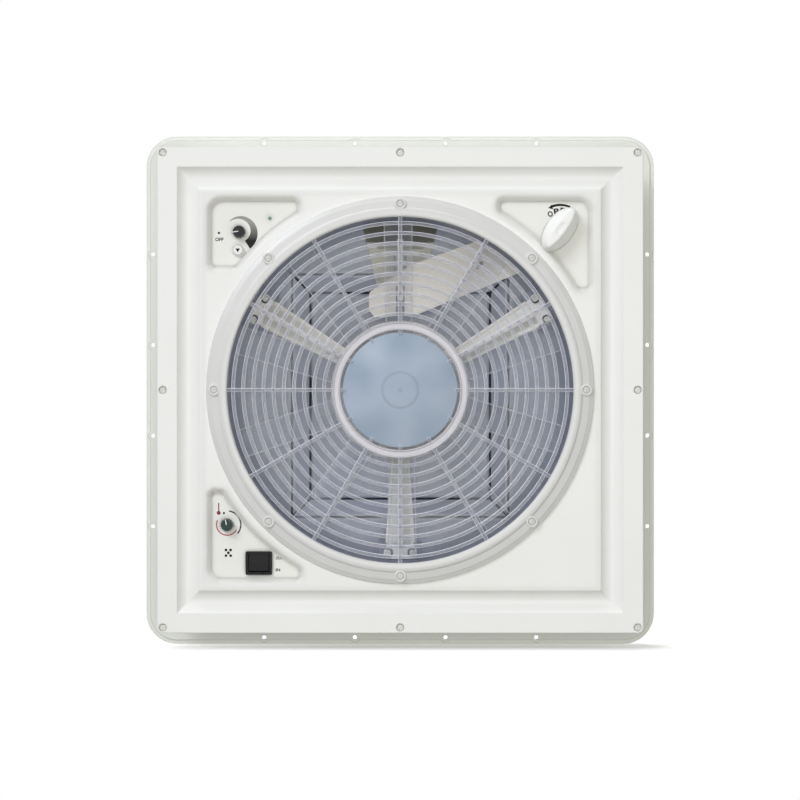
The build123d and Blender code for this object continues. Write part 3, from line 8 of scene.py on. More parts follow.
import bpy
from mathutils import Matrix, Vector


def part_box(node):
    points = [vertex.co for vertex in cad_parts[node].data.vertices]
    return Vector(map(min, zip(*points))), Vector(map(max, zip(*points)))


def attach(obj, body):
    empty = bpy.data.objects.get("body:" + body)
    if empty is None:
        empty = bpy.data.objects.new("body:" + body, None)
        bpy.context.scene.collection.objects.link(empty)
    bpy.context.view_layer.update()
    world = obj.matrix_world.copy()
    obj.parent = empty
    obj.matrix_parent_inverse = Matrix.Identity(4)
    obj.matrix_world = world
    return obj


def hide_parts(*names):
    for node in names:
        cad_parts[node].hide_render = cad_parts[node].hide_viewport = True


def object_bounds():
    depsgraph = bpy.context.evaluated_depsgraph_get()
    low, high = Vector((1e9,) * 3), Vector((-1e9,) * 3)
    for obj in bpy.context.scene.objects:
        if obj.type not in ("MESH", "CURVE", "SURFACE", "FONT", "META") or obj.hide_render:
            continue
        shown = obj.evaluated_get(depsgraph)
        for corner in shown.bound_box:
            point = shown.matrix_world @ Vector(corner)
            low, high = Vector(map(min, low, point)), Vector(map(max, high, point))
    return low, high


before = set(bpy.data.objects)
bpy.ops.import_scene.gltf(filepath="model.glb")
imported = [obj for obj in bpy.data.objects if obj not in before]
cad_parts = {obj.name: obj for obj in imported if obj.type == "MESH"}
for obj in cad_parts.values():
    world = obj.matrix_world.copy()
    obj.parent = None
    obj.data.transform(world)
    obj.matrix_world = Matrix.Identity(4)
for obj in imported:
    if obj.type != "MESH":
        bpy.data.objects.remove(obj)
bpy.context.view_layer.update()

# %% Modules and the unit
import math

import bpy
from mathutils import Matrix, Vector

mm = 0.001
print("1 mm is", mm, "Blender units")

# %% [markdown]
# ## Helpers for modelling
# An operator acts on all that is selected, and the loader leaves the CAD nodes selected, so each step
# starts by deselecting. A finished piece has its place in its mesh and its object at the origin.


# %% Selection and finishing
def pick(*pieces):
    """Selects these objects alone; the first one becomes active."""
    bpy.ops.object.select_all(action="DESELECT")
    for piece in pieces:
        piece.select_set(True)
    bpy.context.view_layer.objects.active = pieces[0]


def fix_place(piece):
    """Moves the object's place, turn and scale into its mesh."""
    pick(piece)
    bpy.ops.object.transform_apply(location=True, rotation=True, scale=True)


def fix_modifiers(piece):
    """Applies every modifier, top to bottom."""
    pick(piece)
    for name in [modifier.name for modifier in piece.modifiers]:
        bpy.ops.object.modifier_apply(modifier=name)


def weld(pieces, name):
    """Joins pieces into one object with one name."""
    pick(*pieces)
    if len(pieces) > 1:
        bpy.ops.object.join()
    joined = bpy.context.view_layer.objects.active
    joined.name = name
    joined.data.name = name
    return joined


def outward_faces(piece):
    """Merges doubles and turns every face outwards."""
    pick(piece)
    bpy.ops.object.mode_set(mode="EDIT")
    bpy.ops.mesh.select_all(action="SELECT")
    bpy.ops.mesh.remove_doubles(threshold=0.001 * mm)
    bpy.ops.mesh.normals_make_consistent(inside=False)
    bpy.ops.object.mode_set(mode="OBJECT")


def copy_to(piece, matrix):
    """A copy with its own mesh, moved by a matrix."""
    twin = piece.copy()
    twin.data = piece.data.copy()
    twin.data.transform(matrix)
    bpy.context.scene.collection.objects.link(twin)
    return twin


def soften(piece, width, segments=2, angle=35):
    """Rounds the edges sharper than an angle, as a mould or a tumbler does."""
    bevel = piece.modifiers.new("edge", "BEVEL")
    bevel.width = width
    bevel.segments = segments
    bevel.limit_method = "ANGLE"
    bevel.angle_limit = math.radians(angle)
    fix_modifiers(piece)


def settle(piece, body, material, stands_for=()):
    """Shades a finished piece and hands it to its body and the node it stands for."""
    pick(piece)
    bpy.ops.object.shade_smooth_by_angle(angle=math.radians(40))
    piece.data.materials.clear()
    piece.data.materials.append(material)
    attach(piece, body)
    if stands_for:
        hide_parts(*stands_for)
    print(piece.name, "faces:", len(piece.data.polygons))


# %% [markdown]
# Round pieces are turned as on a lathe: a closed outline of radius and height is spun about the Z axis
# with the Spin tool. Where the outline touches the axis its points fall together, so doubles are merged
# and the loose edge on the axis is taken out.


# %% Turned pieces and bars
def lathe(name, outline, steps=48):
    """Spins a closed outline of (radius, height) points once round the Z axis."""
    bpy.ops.object.select_all(action="DESELECT")
    bpy.ops.mesh.primitive_circle_add(vertices=len(outline), fill_type="NOTHING")
    turned = bpy.context.object
    turned.name = name
    for vertex, (radius, height) in zip(turned.data.vertices, outline):
        vertex.co = (radius, 0, height)
    bpy.ops.object.mode_set(mode="EDIT")
    bpy.ops.mesh.select_all(action="SELECT")
    bpy.ops.mesh.spin(steps=steps, angle=math.tau, center=(0, 0, 0), axis=(0, 0, 1))
    bpy.ops.mesh.select_all(action="SELECT")
    bpy.ops.mesh.remove_doubles(threshold=0.001 * mm)
    bpy.ops.mesh.delete_loose(use_verts=True, use_edges=True, use_faces=False)
    bpy.ops.mesh.select_all(action="SELECT")
    bpy.ops.mesh.normals_make_consistent(inside=False)
    bpy.ops.object.mode_set(mode="OBJECT")
    return turned


def bar(name, low, high):
    """A straight bar between two corners, to be bevelled or cut later."""
    low, high = Vector(low), Vector(high)
    bpy.ops.object.select_all(action="DESELECT")
    bpy.ops.mesh.primitive_cube_add(size=1, location=(low + high) / 2)
    block = bpy.context.object
    block.name = name
    block.scale = high - low
    fix_place(block)
    return block


def ring_of(piece, count, start=0.0):
    """Copies of a piece at equal angles round the Z axis; the piece itself is used up."""
    angles = [start + k * math.tau / count for k in range(count)]
    copies = [copy_to(piece, Matrix.Rotation(angle, 4, "Z")) for angle in angles]
    bpy.data.objects.remove(piece)
    return copies


def carve(piece, cutter):
    """Cuts one piece out of another and deletes the cutter."""
    cut = piece.modifiers.new("cut", "BOOLEAN")
    cut.operation = "DIFFERENCE"
    cut.solver = "EXACT"
    cut.object = cutter
    fix_modifiers(piece)
    bpy.data.objects.remove(cutter)


# %% [markdown]
# ## Helpers for materials
# Colours are written as the sRGB hex values that a picture would show, and one function turns them to
# the linear values that the shader wants. A second one adds any node with its settings and its links.
# Five short ones on top of it do what every material needs: arithmetic, distances, ranges, colour blends
# and noise.


# %% Colour and node helpers
def paint(code):
    """An sRGB hex colour as linear RGBA."""
    parts = [int(code[i:i + 2], 16) / 255 for i in (1, 3, 5)]
    return (*[p / 12.92 if p <= 0.04045 else ((p + 0.055) / 1.055) ** 2.4 for p in parts], 1.0)


def add(tree, kind, inputs=(), **settings):
    """Adds one node, with its settings, values and incoming links."""
    made = tree.nodes.new(kind)
    for key, value in settings.items():
        setattr(made, key, value)
    for socket, value in dict(inputs).items():
        if isinstance(value, bpy.types.NodeSocket):
            tree.links.new(value, made.inputs[socket])
        else:
            made.inputs[socket].default_value = value
    return made


def calc(tree, operation, *values):
    """One step of arithmetic on numbers or sockets."""
    return add(tree, "ShaderNodeMath", dict(enumerate(values)), operation=operation).outputs[0]


def apart(tree, value, middle):
    """How far a value is from a middle, on either side of it."""
    return calc(tree, "ABSOLUTE", calc(tree, "SUBTRACT", value, middle))


def ramp(tree, value, start, end, low=0.0, high=1.0, curve="LINEAR"):
    """Goes from low to high while a value goes from start to end, and stays level outside them."""
    ends = {"Value": value, "From Min": start, "From Max": end, "To Min": low, "To Max": high}
    return add(tree, "ShaderNodeMapRange", ends, interpolation_type=curve).outputs[0]


def blend(tree, share, first, second):
    """The first colour where the share is 0, the second where it is 1; each a hex code or a socket."""
    pair = [paint(colour) if isinstance(colour, str) else colour for colour in (first, second)]
    return add(tree, "ShaderNodeMix", {0: share, 6: pair[0], 7: pair[1]}, data_type="RGBA").outputs[2]


def noise(tree, place, size, detail=2.0):
    """A cloudy random value from 0 to 1, with clouds of about this size."""
    cloud = add(tree, "ShaderNodeTexNoise", {"Vector": place, "Scale": 1 / size, "Detail": detail})
    return cloud.outputs["Fac"]


def blank(name):
    """A new material with an empty tree, its output node and its own coordinates."""
    material = bpy.data.materials.new(name)
    material.use_nodes = True
    tree = material.node_tree
    tree.nodes.clear()
    place = add(tree, "ShaderNodeTexCoord").outputs["Object"]
    return material, tree, place


def shade(tree, **inputs):
    """The Principled shader and the material output; a socket's name has underscores for spaces."""
    sockets = {key.replace("_", " "): value for key, value in inputs.items()}
    shader = add(tree, "ShaderNodeBsdfPrincipled", sockets)
    add(tree, "ShaderNodeOutputMaterial", {"Surface": shader.outputs[0]})
    return shader


def dress(material, *nodes):
    """Gives CAD nodes their material."""
    for name in nodes:
        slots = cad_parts[name].data.materials
        slots.clear()
        slots.append(material)


# %% [markdown]
# ## Camera
# The photograph looks straight up at the vent from inside. Its sides run parallel, and the parts that
# stand deeper are only a little smaller, so the camera stands a long way off with a narrow angle.

# %% Camera
room_distance = 2200 * mm
front_depth = -52 * mm
pixel = 0.905 * mm
bpy.ops.object.select_all(action="DESELECT")
bpy.ops.object.camera_add(
    location=(-0.2 * mm, 9.05 * mm, front_depth - room_distance),
    rotation=(math.pi, 0, 0),
)
camera = bpy.context.object
camera.name = "photograph_camera"
camera.data.angle = 2 * math.atan(400 * pixel / room_distance)
bpy.context.scene.camera = camera
print("camera angle:", round(math.degrees(camera.data.angle), 2))


def seen_at(u, v, depth):
    """The point at a depth, in metres, that the photograph shows at pixel u, v."""
    scale = pixel * (depth - camera.location.z) / room_distance
    return Vector((camera.location.x + (u - 400) * scale, camera.location.y + (v - 400) * scale, depth))


# %% [markdown]
# ## Light and backdrop
# The picture is a catalogue shot: a white surround that fills every shadow, and one large soft lamp from
# the upper left. The world is white to the camera and in reflections, and a plainer fill everywhere
# else, so that white plastic keeps its shading.

# %% World
fill_strength = 0.33
world = bpy.data.worlds.new("white_studio")
bpy.context.scene.world = world
world.use_nodes = True
sky = world.node_tree
sky.nodes.clear()
path = add(sky, "ShaderNodeLightPath")
seen = calc(sky, "MAXIMUM", path.outputs["Is Camera Ray"], path.outputs["Is Glossy Ray"])
seen = calc(sky, "MAXIMUM", seen, path.outputs["Is Transmission Ray"])
fill = add(sky, "ShaderNodeBackground", {"Color": paint("#FBFAF2"), "Strength": fill_strength})
white = add(sky, "ShaderNodeBackground", {"Color": (1, 1, 1, 1), "Strength": 1.0})
mixed = add(sky, "ShaderNodeMixShader", {0: seen, 1: fill.outputs[0], 2: white.outputs[0]})
add(sky, "ShaderNodeOutputWorld", {"Surface": mixed.outputs[0]})
bpy.context.scene.view_settings.view_transform = "Standard"
print("world fill strength:", fill_strength)

# %% [markdown]
# The key lamp is large, so its shadows are soft, and slightly blue against the warmer fill. A smaller
# lamp stands in front, and three more above light the roof side. The last one hangs past the vent's
# upper edge and models the slopes of the trim. Places and sizes are in metres and powers in watts.


# %% Lamps
def soft_lamp(name, place, size, power, tint="#FFFFFF"):
    """A square area lamp that faces the vent."""
    bpy.ops.object.light_add(type="AREA", location=place)
    lamp = bpy.context.object
    lamp.name = name
    lamp.rotation_euler = (-Vector(place)).to_track_quat("-Z", "Y").to_euler()
    lamp.data.size = size
    lamp.data.energy = power
    lamp.data.color = paint(tint)[:3]


soft_lamp("key_from_room", (-2.5, -2.9, -3.5), 2.0, 126, "#F1F4FF")
soft_lamp("front_from_room", (0.1, 0.0, -2.6), 1.2, 19, "#FDFBF8")
soft_lamp("fill_from_room", (1.4, 0.9, -1.9), 1.2, 2.5)
soft_lamp("key_above_roof", (-1.3, -1.4, 1.9), 1.0, 40)
soft_lamp("front_above_roof", (0.2, 0.1, 2.4), 1.2, 13)
soft_lamp("fill_above_roof", (1.5, 1.2, 1.6), 1.2, 9)
soft_lamp("overhead", (-0.3, -2.2, 0.3), 2.0, 34)

# %% [markdown]
# ## Floor
# Two pale sheets carry the soft shadows. One stands under the vent's lower edge, as the vent stands in
# the photograph, and one lies under the lowest point, for views from above. Each shows only on its lit
# side and fades out round its middle, so neither hides the vent nor ends in a hard line.


# %% Sheet material
fade_start = 0.45
paper_glow = 0.25


def pale_sheet_material(name, centre, reach):
    """Matt paper that fades out with distance from its middle and is clear from behind."""
    material, tree, place = blank(name)
    off = add(tree, "ShaderNodeVectorMath", {0: place, 1: centre}, operation="DISTANCE")
    fade = ramp(tree, off.outputs["Value"], reach * fade_start, reach, 1.0, 0.0, "SMOOTHSTEP")
    ray = add(tree, "ShaderNodeLightPath")
    facing = add(tree, "ShaderNodeNewGeometry")
    front = calc(tree, "SUBTRACT", 1.0, facing.outputs["Backfacing"])
    shown = calc(tree, "MULTIPLY", front, ray.outputs["Is Camera Ray"])
    shown = calc(tree, "MULTIPLY", shown, fade)
    paper = add(tree, "ShaderNodeBsdfDiffuse", {"Color": paint("#FBFBFA")})
    glow = add(tree, "ShaderNodeEmission", {"Color": (1, 1, 1, 1), "Strength": paper_glow})
    lit = add(tree, "ShaderNodeAddShader", {0: paper.outputs[0], 1: glow.outputs[0]})
    clear = add(tree, "ShaderNodeBsdfTransparent")
    sheet = add(tree, "ShaderNodeMixShader", {0: shown, 1: clear.outputs[0], 2: lit.outputs[0]})
    add(tree, "ShaderNodeOutputMaterial", {"Surface": sheet.outputs[0]})
    return material


# %% Sheets
def pale_sheet(name, centre, turn, side):
    """A floor or backdrop sheet."""
    bpy.ops.mesh.primitive_plane_add(size=side, location=centre, rotation=turn)
    sheet = bpy.context.object
    sheet.name = name
    fix_place(sheet)
    sheet.data.materials.append(pale_sheet_material(name + "_paper", centre, side / 2))


low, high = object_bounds()
sheet_gap = 0.5 * mm
pale_sheet("floor", (0, 0, low.z - sheet_gap), (0, 0, 0), 3.0)
pale_sheet("stand", (0.1, high.y + sheet_gap, -0.25), (math.pi / 2, 0, 0), 1.1)
print("floor at", round(low.z / mm, 1), "mm")

# %% [markdown]
# ## White moulded ABS: the inner frame
# Caravan trim is injection-moulded ABS with a fine spark-eroded grain, about 0.3 mm across. That is
# finer than the render shows, so the grain is drawn at 1.1 mm and very shallow. It breaks the reflection
# into a satin sheen. The colour drifts a little over tens of millimetres, and the Bevel node rounds the
# edges that a mould can't make sharp. The rounded normal parts from the flat one only near an edge, and
# that tells where an edge line may be tinted.


# %% Nearness to an edge
def nearness(tree, rounded):
    """How near an edge is: 0 on a flat face, 1 on a rounded edge, where the two normals part."""
    flat = add(tree, "ShaderNodeNewGeometry")
    lean = add(tree, "ShaderNodeVectorMath", {0: rounded, 1: flat.outputs["Normal"]},
               operation="DOT_PRODUCT")
    return ramp(tree, lean.outputs["Value"], 0.998, 0.93)


# %% [markdown]
# The trim's inner panel has wide, soft edges and its rim tighter ones. The hollows round the controls
# are a touch greyer than the panel, since less of the room's light reaches them. Both follow the place:
# inside a square round the middle the radius is wider, and the tint grows between two heights.

# %% Moulded plastic
hollow_starts, hollow_full = -52.2 * mm, -49.5 * mm


def moulded(name, colour, shadow, roughness, edge, grain=1.1 * mm, drift=45 * mm, lift=0.06,
            painted_edge_shade=None, inner_edge=None, gloss=0.5):
    """Opaque moulded plastic: colour drift, fine grain, softened edges and, if asked, a painted shade
    along edge lines or, within a square round the middle, wider edges and a painted shade in the hollows."""
    material, tree, place = blank(name)
    tint = blend(tree, noise(tree, place, drift, 3.0), shadow, colour)
    speck = noise(tree, place, grain)
    rough = ramp(tree, speck, 0.0, 1.0, roughness - 0.05, roughness + 0.07)
    if inner_edge:
        half, wide = inner_edge
        across = add(tree, "ShaderNodeVectorMath", {0: place}, operation="ABSOLUTE")
        across = add(tree, "ShaderNodeSeparateXYZ", {0: across.outputs[0]})
        far = calc(tree, "MAXIMUM", across.outputs["X"], across.outputs["Y"])
        edge = ramp(tree, far, half - 1 * mm, half + 1 * mm, wide, edge)
        # Painted shade: the hollows are tinted greyer, where less of the room's light reaches them.
        height = add(tree, "ShaderNodeSeparateXYZ", {0: place})
        deep = ramp(tree, height.outputs["Z"], hollow_starts, hollow_full, 0.0, 0.5)
        hollow_shade = calc(tree, "MULTIPLY", deep, calc(tree, "LESS_THAN", far, half))
        tint = blend(tree, hollow_shade, tint, "#E3E2DB")
    soft = add(tree, "ShaderNodeBevel", {"Radius": edge}, samples=4)
    bump = add(tree, "ShaderNodeBump", {"Height": speck, "Strength": lift, "Distance": 0.2 * mm,
                                        "Normal": soft.outputs[0]})
    # Painted shade: edge lines are tinted darker, as the steps and creases beside them would be shaded.
    if painted_edge_shade:
        tint = blend(tree, nearness(tree, soft.outputs[0]), tint, painted_edge_shade)
    shade(tree, Base_Color=tint, Roughness=rough, IOR=1.53, Specular_IOR_Level=gloss,
          Normal=bump.outputs[0])
    return material


# %% Trim, fuse cap, bush and knob
inner_panel_half, inner_radius = 180 * mm, 8 * mm
trim_abs = moulded("moulded_white_abs_trim", "#EEEFEC", "#E9EAE6", 0.38, 1.6 * mm,
                   inner_edge=(inner_panel_half, inner_radius))
dress(trim_abs, "inner_frame")
white_abs = moulded("moulded_white_abs", "#EEEFEC", "#E9EAE6", 0.38, 1.2 * mm)
dress(white_abs, "fuse_cap", "crank_bush")
knob_abs = moulded("moulded_white_abs_knob", "#F2F3F1", "#EDEEEB", 0.36, 3.5 * mm)
dress(knob_abs, "crank_knob")
print("white plastics:", trim_abs.name, white_abs.name, knob_abs.name)

# %% [markdown]
# ## ASA: the roof frame and the duct
# The outer flange stands in the weather and is ASA, a cousin of ABS with a warmer white and a duller
# surface. The brackets and hinge leaves are the same plastic. Its edge lines are tinted darker, a painted
# shade for the steps and creases beside them. The duct is ASA too, coloured slate grey; that grey is a
# painted shade for its walls, which lie deep in the opening out of the light.

# %% Roof frame plastic
# Its darker edge lines are painted shade.
warm_asa = moulded("moulded_warm_white_asa", "#E8EAE4", "#E1E3DC", 0.46, 0.9 * mm, lift=0.09,
                   painted_edge_shade="#BDBFB6")
dress(warm_asa, "roof_frame", "hinge_brackets", "hinge_leaves")
# Painted shade: the duct's slate grey keeps its walls dark, as they lie deep in the opening out of the
# light.
slate_shade_asa = moulded("moulded_asa_slate_painted_shade", "#8F95A6", "#848A9A", 0.5, 0.8 * mm, lift=0.09)
dress(slate_shade_asa, "fan_duct")
print("weather plastics:", warm_asa.name, slate_shade_asa.name)

# %% [markdown]
# ## Glass-filled nylon: the motor carrier
# The spider that holds the motor is stiff glass-filled nylon. It is white too, but fibres near the
# surface leave it mottled and matt.

# %% Motor carrier plastic
filled_nylon = moulded("glass_filled_nylon", "#FBFAF6", "#EFEDE7", 0.5, 0.7 * mm, 1.6 * mm, 9 * mm,
                       0.12)
print("carrier plastic:", filled_nylon.name)

# %% [markdown]
# The real spider is a thin plate with a ridge under each arm, which tapers down to a narrow edge, and a
# bead along each side. Each foot has two raised rings round its screw holes. An arm could be extruded
# step by step, but a bar whose eight corners are moved gives the same taper in one step. The hub is
# turned, one arm is built from bars along +X, and its copies stand a third of a turn apart. Outline
# points are millimetres from the axis and from the plate's lower face.

# %% Carrier measures and helpers
carrier_low, carrier_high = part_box("motor_carrier")
plate_thick = 3 * mm
plate_low = carrier_high.z - plate_thick
carrier_turn = math.pi / 2
foot_reach, foot_half = 150.1 * mm, 11 * mm
motor_hole_reach = 26 * mm


def tapered(name, reach, half_widths, heights, low_share=1.0):
    """A bar out along +X from the first reach to the second. Its half widths go from the first to the
    second too, and its lower face is narrower by a share."""
    piece = bar(name, (reach[0], -1, heights[0]), (reach[1], 1, heights[1]))
    for vertex in piece.data.vertices:
        along = (vertex.co.x - reach[0]) / (reach[1] - reach[0])
        half = half_widths[0] + along * (half_widths[1] - half_widths[0])
        vertex.co.y *= half * (low_share if vertex.co.z < sum(heights) / 2 else 1.0)
    return piece


def drilled(piece, radius, x, y):
    """Drills a round hole through the carrier's plate."""
    bpy.ops.mesh.primitive_cylinder_add(radius=radius, depth=8 * mm, location=(x, y, plate_low))
    drill = bpy.context.object
    fix_place(drill)
    carve(piece, drill)


print("carrier plate at", round(plate_low / mm, 2), "mm")

# %% Hub
hub_outline = [(13, 0), (13, 3), (64, 3), (64, -6), (58, -6), (58, 0)]
hub = lathe("hub", [(r * mm, plate_low + z * mm) for r, z in hub_outline], 96)
for k in range(3):
    turn = carrier_turn + k * math.tau / 3
    drilled(hub, 1.7 * mm, motor_hole_reach * math.cos(turn), motor_hole_reach * math.sin(turn))
print("hub holes: 3")

# %% Arm
ridge_from, ridge_to = 61 * mm, 141 * mm
bead_from, bead_spread = 7 * mm, 5.6 * mm
plate = tapered("plate", (60 * mm, 155.5 * mm), (8 * mm, 13.4 * mm), (plate_low, carrier_high.z))
ridge = tapered("ridge", (ridge_from, ridge_to), (6 * mm, 10 * mm), (carrier_low.z, plate_low), 0.28)
arm_parts = [plate, ridge]
for side in (-1, 1):
    bead = tapered("bead", (ridge_from, ridge_to), (1 * mm, 1 * mm), (plate_low - 2 * mm, plate_low))
    for vertex in bead.data.vertices:
        along = (vertex.co.x - ridge_from) / (ridge_to - ridge_from)
        vertex.co.y += side * (bead_from + along * bead_spread)
    arm_parts.append(bead)
boss_ring = [(1.8, 0), (1.8, 3), (4.3, 3), (4.3, 0)]
for side in (-1, 1):
    foot = lathe("foot", [(r * mm, plate_low + z * mm) for r, z in boss_ring], 32)
    foot.data.transform(Matrix.Translation((foot_reach, side * foot_half, 0)))
    arm_parts.append(foot)
    drilled(plate, 1.8 * mm, foot_reach, side * foot_half)
print("arm pieces:", len(arm_parts))

# %% Whole carrier
arms = ring_of(weld(arm_parts, "arm"), 3, carrier_turn)
carrier = weld([hub, *arms], "ribbed_motor_carrier")
outward_faces(carrier)
settle(carrier, "frame", filled_nylon, ("motor_carrier",))

# %% [markdown]
# ## Cream acetal: the lift arm and its track
# Sliding parts are acetal, a waxy plastic. It reads as a cream colour with a soft gloss. The end of the
# track that is nearer the hinge is coloured dark olive, a painted shade for the shadow it lies in there.

# %% Lift arm plastic
cream_acetal = moulded("cream_acetal", "#FAF6EF", "#F2EDE4", 0.34, 0.7 * mm, 1.4 * mm, 30 * mm, 0.05)
dress(cream_acetal, "lift_arm")
print("arm plastic:", cream_acetal.name)

# %% Track plastic
painted_shade_edge, painted_shade_fade = -140.9 * mm, 0.5 * mm
painted_shade_acetal, tree, place = blank("cream_acetal_with_painted_shade")
across = add(tree, "ShaderNodeSeparateXYZ", {0: place})
# Painted shade: past this edge the track takes a dark olive colour in place of its cream.
painted_shade_share = ramp(tree, across.outputs["Y"], painted_shade_edge - painted_shade_fade, painted_shade_edge + painted_shade_fade, 1.0, 0.0)
cloud = noise(tree, place, 9 * mm)
clean = blend(tree, cloud, "#F0EEE2", "#FAF8EE")
painted_shade = blend(tree, cloud, "#56564A", "#727264")
tint = blend(tree, painted_shade_share, clean, painted_shade)
soft = add(tree, "ShaderNodeBevel", {"Radius": 1.2 * mm}, samples=4)
shade(tree, Base_Color=tint, Roughness=0.4, IOR=1.48, Normal=soft.outputs[0])
dress(painted_shade_acetal, "track_bracket")
print("grease edge at", round(painted_shade_edge / mm, 1), "mm")

# %% [markdown]
# ## Black nylon: switch, controls and gearbox
# Electrical parts and the gearbox are black nylon, matt from a coarse mould texture. A pure black would
# lose its shape, so it is a very dark grey.

# %% Black plastics
black_nylon = moulded("black_nylon", "#1C1C1E", "#151517", 0.42, 0.5 * mm, 1.2 * mm, 12 * mm, 0.15,
                      gloss=0.12)
dress(black_nylon, "gearbox_housing", "gearbox_cover", "speed_pot", "thermostat_pot", "fuse_holder",
      "relay", "switch_body", "switch_rocker")
print("black plastic:", black_nylon.name)

# %% [markdown]
# The two dials are small ABS mouldings, one nearly black and one dark green, with a finer grain. The
# terminal block on the board behind them is the usual bright green plastic.

# %% Dial and terminal plastics
speed_black = moulded("black_dial_plastic", "#232127", "#1A181D", 0.33, 0.3 * mm, 1.0 * mm, 5 * mm,
                      0.1, gloss=0.15)
dress(speed_black, "speed_knob")
dial_green = moulded("dark_green_dial_plastic", "#28413E", "#1E3230", 0.33, 0.3 * mm, 1.0 * mm, 5 * mm,
                     0.1, gloss=0.15)
dress(dial_green, "thermostat_knob")
terminal_green = moulded("green_terminal_plastic", "#2F7D46", "#27693A", 0.4, 0.4 * mm)
dress(terminal_green, "terminal_block")
print("dials:", speed_black.name, dial_green.name)

# %% [markdown]
# ## Rubber: the kerb seal
# The lid closes on an extruded EPDM strip. Rubber is nearly black, has no gloss and shows a fine bloom
# along its length.

# %% Seal rubber
seal_rubber = moulded("extruded_epdm_rubber", "#2B2B2B", "#1F1F20", 0.72, 0.5 * mm, 1.5 * mm,
                      20 * mm, 0.2)
dress(seal_rubber, "kerb_seal")
print("seal:", seal_rubber.name)

# %% [markdown]
# ## Zinc plate: screws, pins and shafts
# Small steel parts are bright zinc plated. The plating is a metal of its own, slightly blue, with soft
# brush marks from tumbling that a stretched noise gives.


# %% Plated metals
def plated(name, colour, dull, roughness, mark):
    """Metal with tumbling marks and faint patches of duller plate."""
    material, tree, place = blank(name)
    stretch = add(tree, "ShaderNodeMapping", {"Vector": place, "Scale": (1, 1, 0.2)})
    marks = noise(tree, stretch.outputs[0], mark, 4.0)
    tint = blend(tree, noise(tree, place, 6 * mm), dull, colour)
    rough = ramp(tree, marks, 0.0, 1.0, roughness - 0.08, roughness + 0.12)
    bump = add(tree, "ShaderNodeBump", {"Height": marks, "Strength": 0.15, "Distance": 0.1 * mm})
    shade(tree, Base_Color=tint, Metallic=1.0, Roughness=rough, Normal=bump.outputs[0])
    return material


zinc = plated("bright_zinc_plated_steel", "#D9DCE0", "#BEC2C8", 0.27, 0.9 * mm)
dress(zinc, "hinge_pins", "motor_screws", "gearbox_screws", "leaf_screws", "duct_screws", "hub_nut",
      "motor_shaft", "crank_shaft", "arm_shaft", "slide_pin", "speed_shaft", "thermostat_shaft")
motor_plate = plated("drawn_motor_steel", "#A3A6AA", "#8B8E93", 0.36, 1.4 * mm)
dress(motor_plate, "motor_can", "motor_end_cap")
print("metals:", zinc.name, motor_plate.name)

# %% [markdown]
# ## See-through plastics
# Clear parts are thin, so their look is tint, reflection and how much shows through, not bending of
# light. The middle of a clear piece almost vanishes, while its rounded edges gather light and show as
# white lines. So the material is whiter and more solid near an edge, which the helper above finds.


# %% Clear plastic
def clear_moulding(name, colour, line, body, rim, roughness, radius):
    """Clear plastic with a tint: see-through in the middle, with a painted highlight that makes it paler
    along its edges.
    """
    material, tree, place = blank(name)
    soft = add(tree, "ShaderNodeBevel", {"Radius": radius}, samples=6).outputs[0]
    edge = nearness(tree, soft)
    bump = add(tree, "ShaderNodeBump", {"Height": noise(tree, place, 9 * mm, 3.0), "Strength": 0.15,
                                        "Distance": 0.4 * mm, "Normal": soft})
    # Painted highlight: the edge colour is near white, for the light a rounded edge gathers.
    shade(tree, Base_Color=blend(tree, edge, colour, line), Roughness=roughness, IOR=1.58,
          Alpha=ramp(tree, edge, 0.0, 1.0, body, rim), Normal=bump.outputs[0])
    return material


# The second colour of each is the painted highlight along its edges.
clear_blade = clear_moulding("clear_polycarbonate_blade", "#C9CFDB", "#F8F9FF", 0.14, 0.7, 0.1,
                             1.3 * mm)
dress(clear_blade, "fan_rotor")
green_lens = clear_moulding("green_lens_epoxy", "#5F8F6B", "#93BF9C", 0.9, 1.0, 0.2, 0.4 * mm)
dress(green_lens, "power_led")
print("clear plastics:", clear_blade.name, green_lens.name)

# %% [markdown]
# ## Guard grille
# The grille is one clear moulding: a stepped ring screwed to the trim, hoops and spokes over the fan,
# and an open channel round a frosted disc that hides the fan's hub. Its hoops have rounded edges that
# catch the light, which a plain CAD hoop can't, so the whole grille is modelled again on the CAD
# grille's places. Hoops, ring and disc are turned; the spokes are bevelled bars.
#
# The bars are clear polycarbonate. They have real rounded edges, so the lean of the surface from the Z
# axis tells where an edge is.

# %% Clear bars
grille_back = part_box("guard_grille")[1].z
grille_low_bar = grille_back - 4.0 * mm


def clear_rod(name, colour, line, body, rim, roughness):
    """Clear plastic in rounded bars: see-through on top, with a painted highlight that makes it paler
    where the surface turns away.
    """
    material, tree, place = blank(name)
    surface = add(tree, "ShaderNodeNewGeometry")
    lean = add(tree, "ShaderNodeSeparateXYZ", {0: surface.outputs["Normal"]})
    edge = ramp(tree, calc(tree, "ABSOLUTE", lean.outputs["Z"]), 0.97, 0.7)
    bump = add(tree, "ShaderNodeBump", {"Height": noise(tree, place, 7 * mm), "Strength": 0.1,
                                        "Distance": 0.3 * mm})
    # Painted highlight: the edge colour is near white, for the light a rounded edge gathers.
    shade(tree, Base_Color=blend(tree, edge, colour, line), Roughness=roughness, IOR=1.58,
          Alpha=ramp(tree, edge, 0.0, 1.0, body, rim), Normal=bump.outputs[0])
    return material


# The second colour is the painted highlight along the bars' edges.
clear_bar = clear_rod("clear_polycarbonate_bar", "#A6ABBC", "#FDFDFF", 0.26, 0.9, 0.16)
print("grille back at", round(grille_back / mm, 2), "mm")

# %% [markdown]
# The outer ring and the channel are the same plastic with a face frosted by the mould, so they are milky
# and have a fine grain, about as coarse as the trim's.


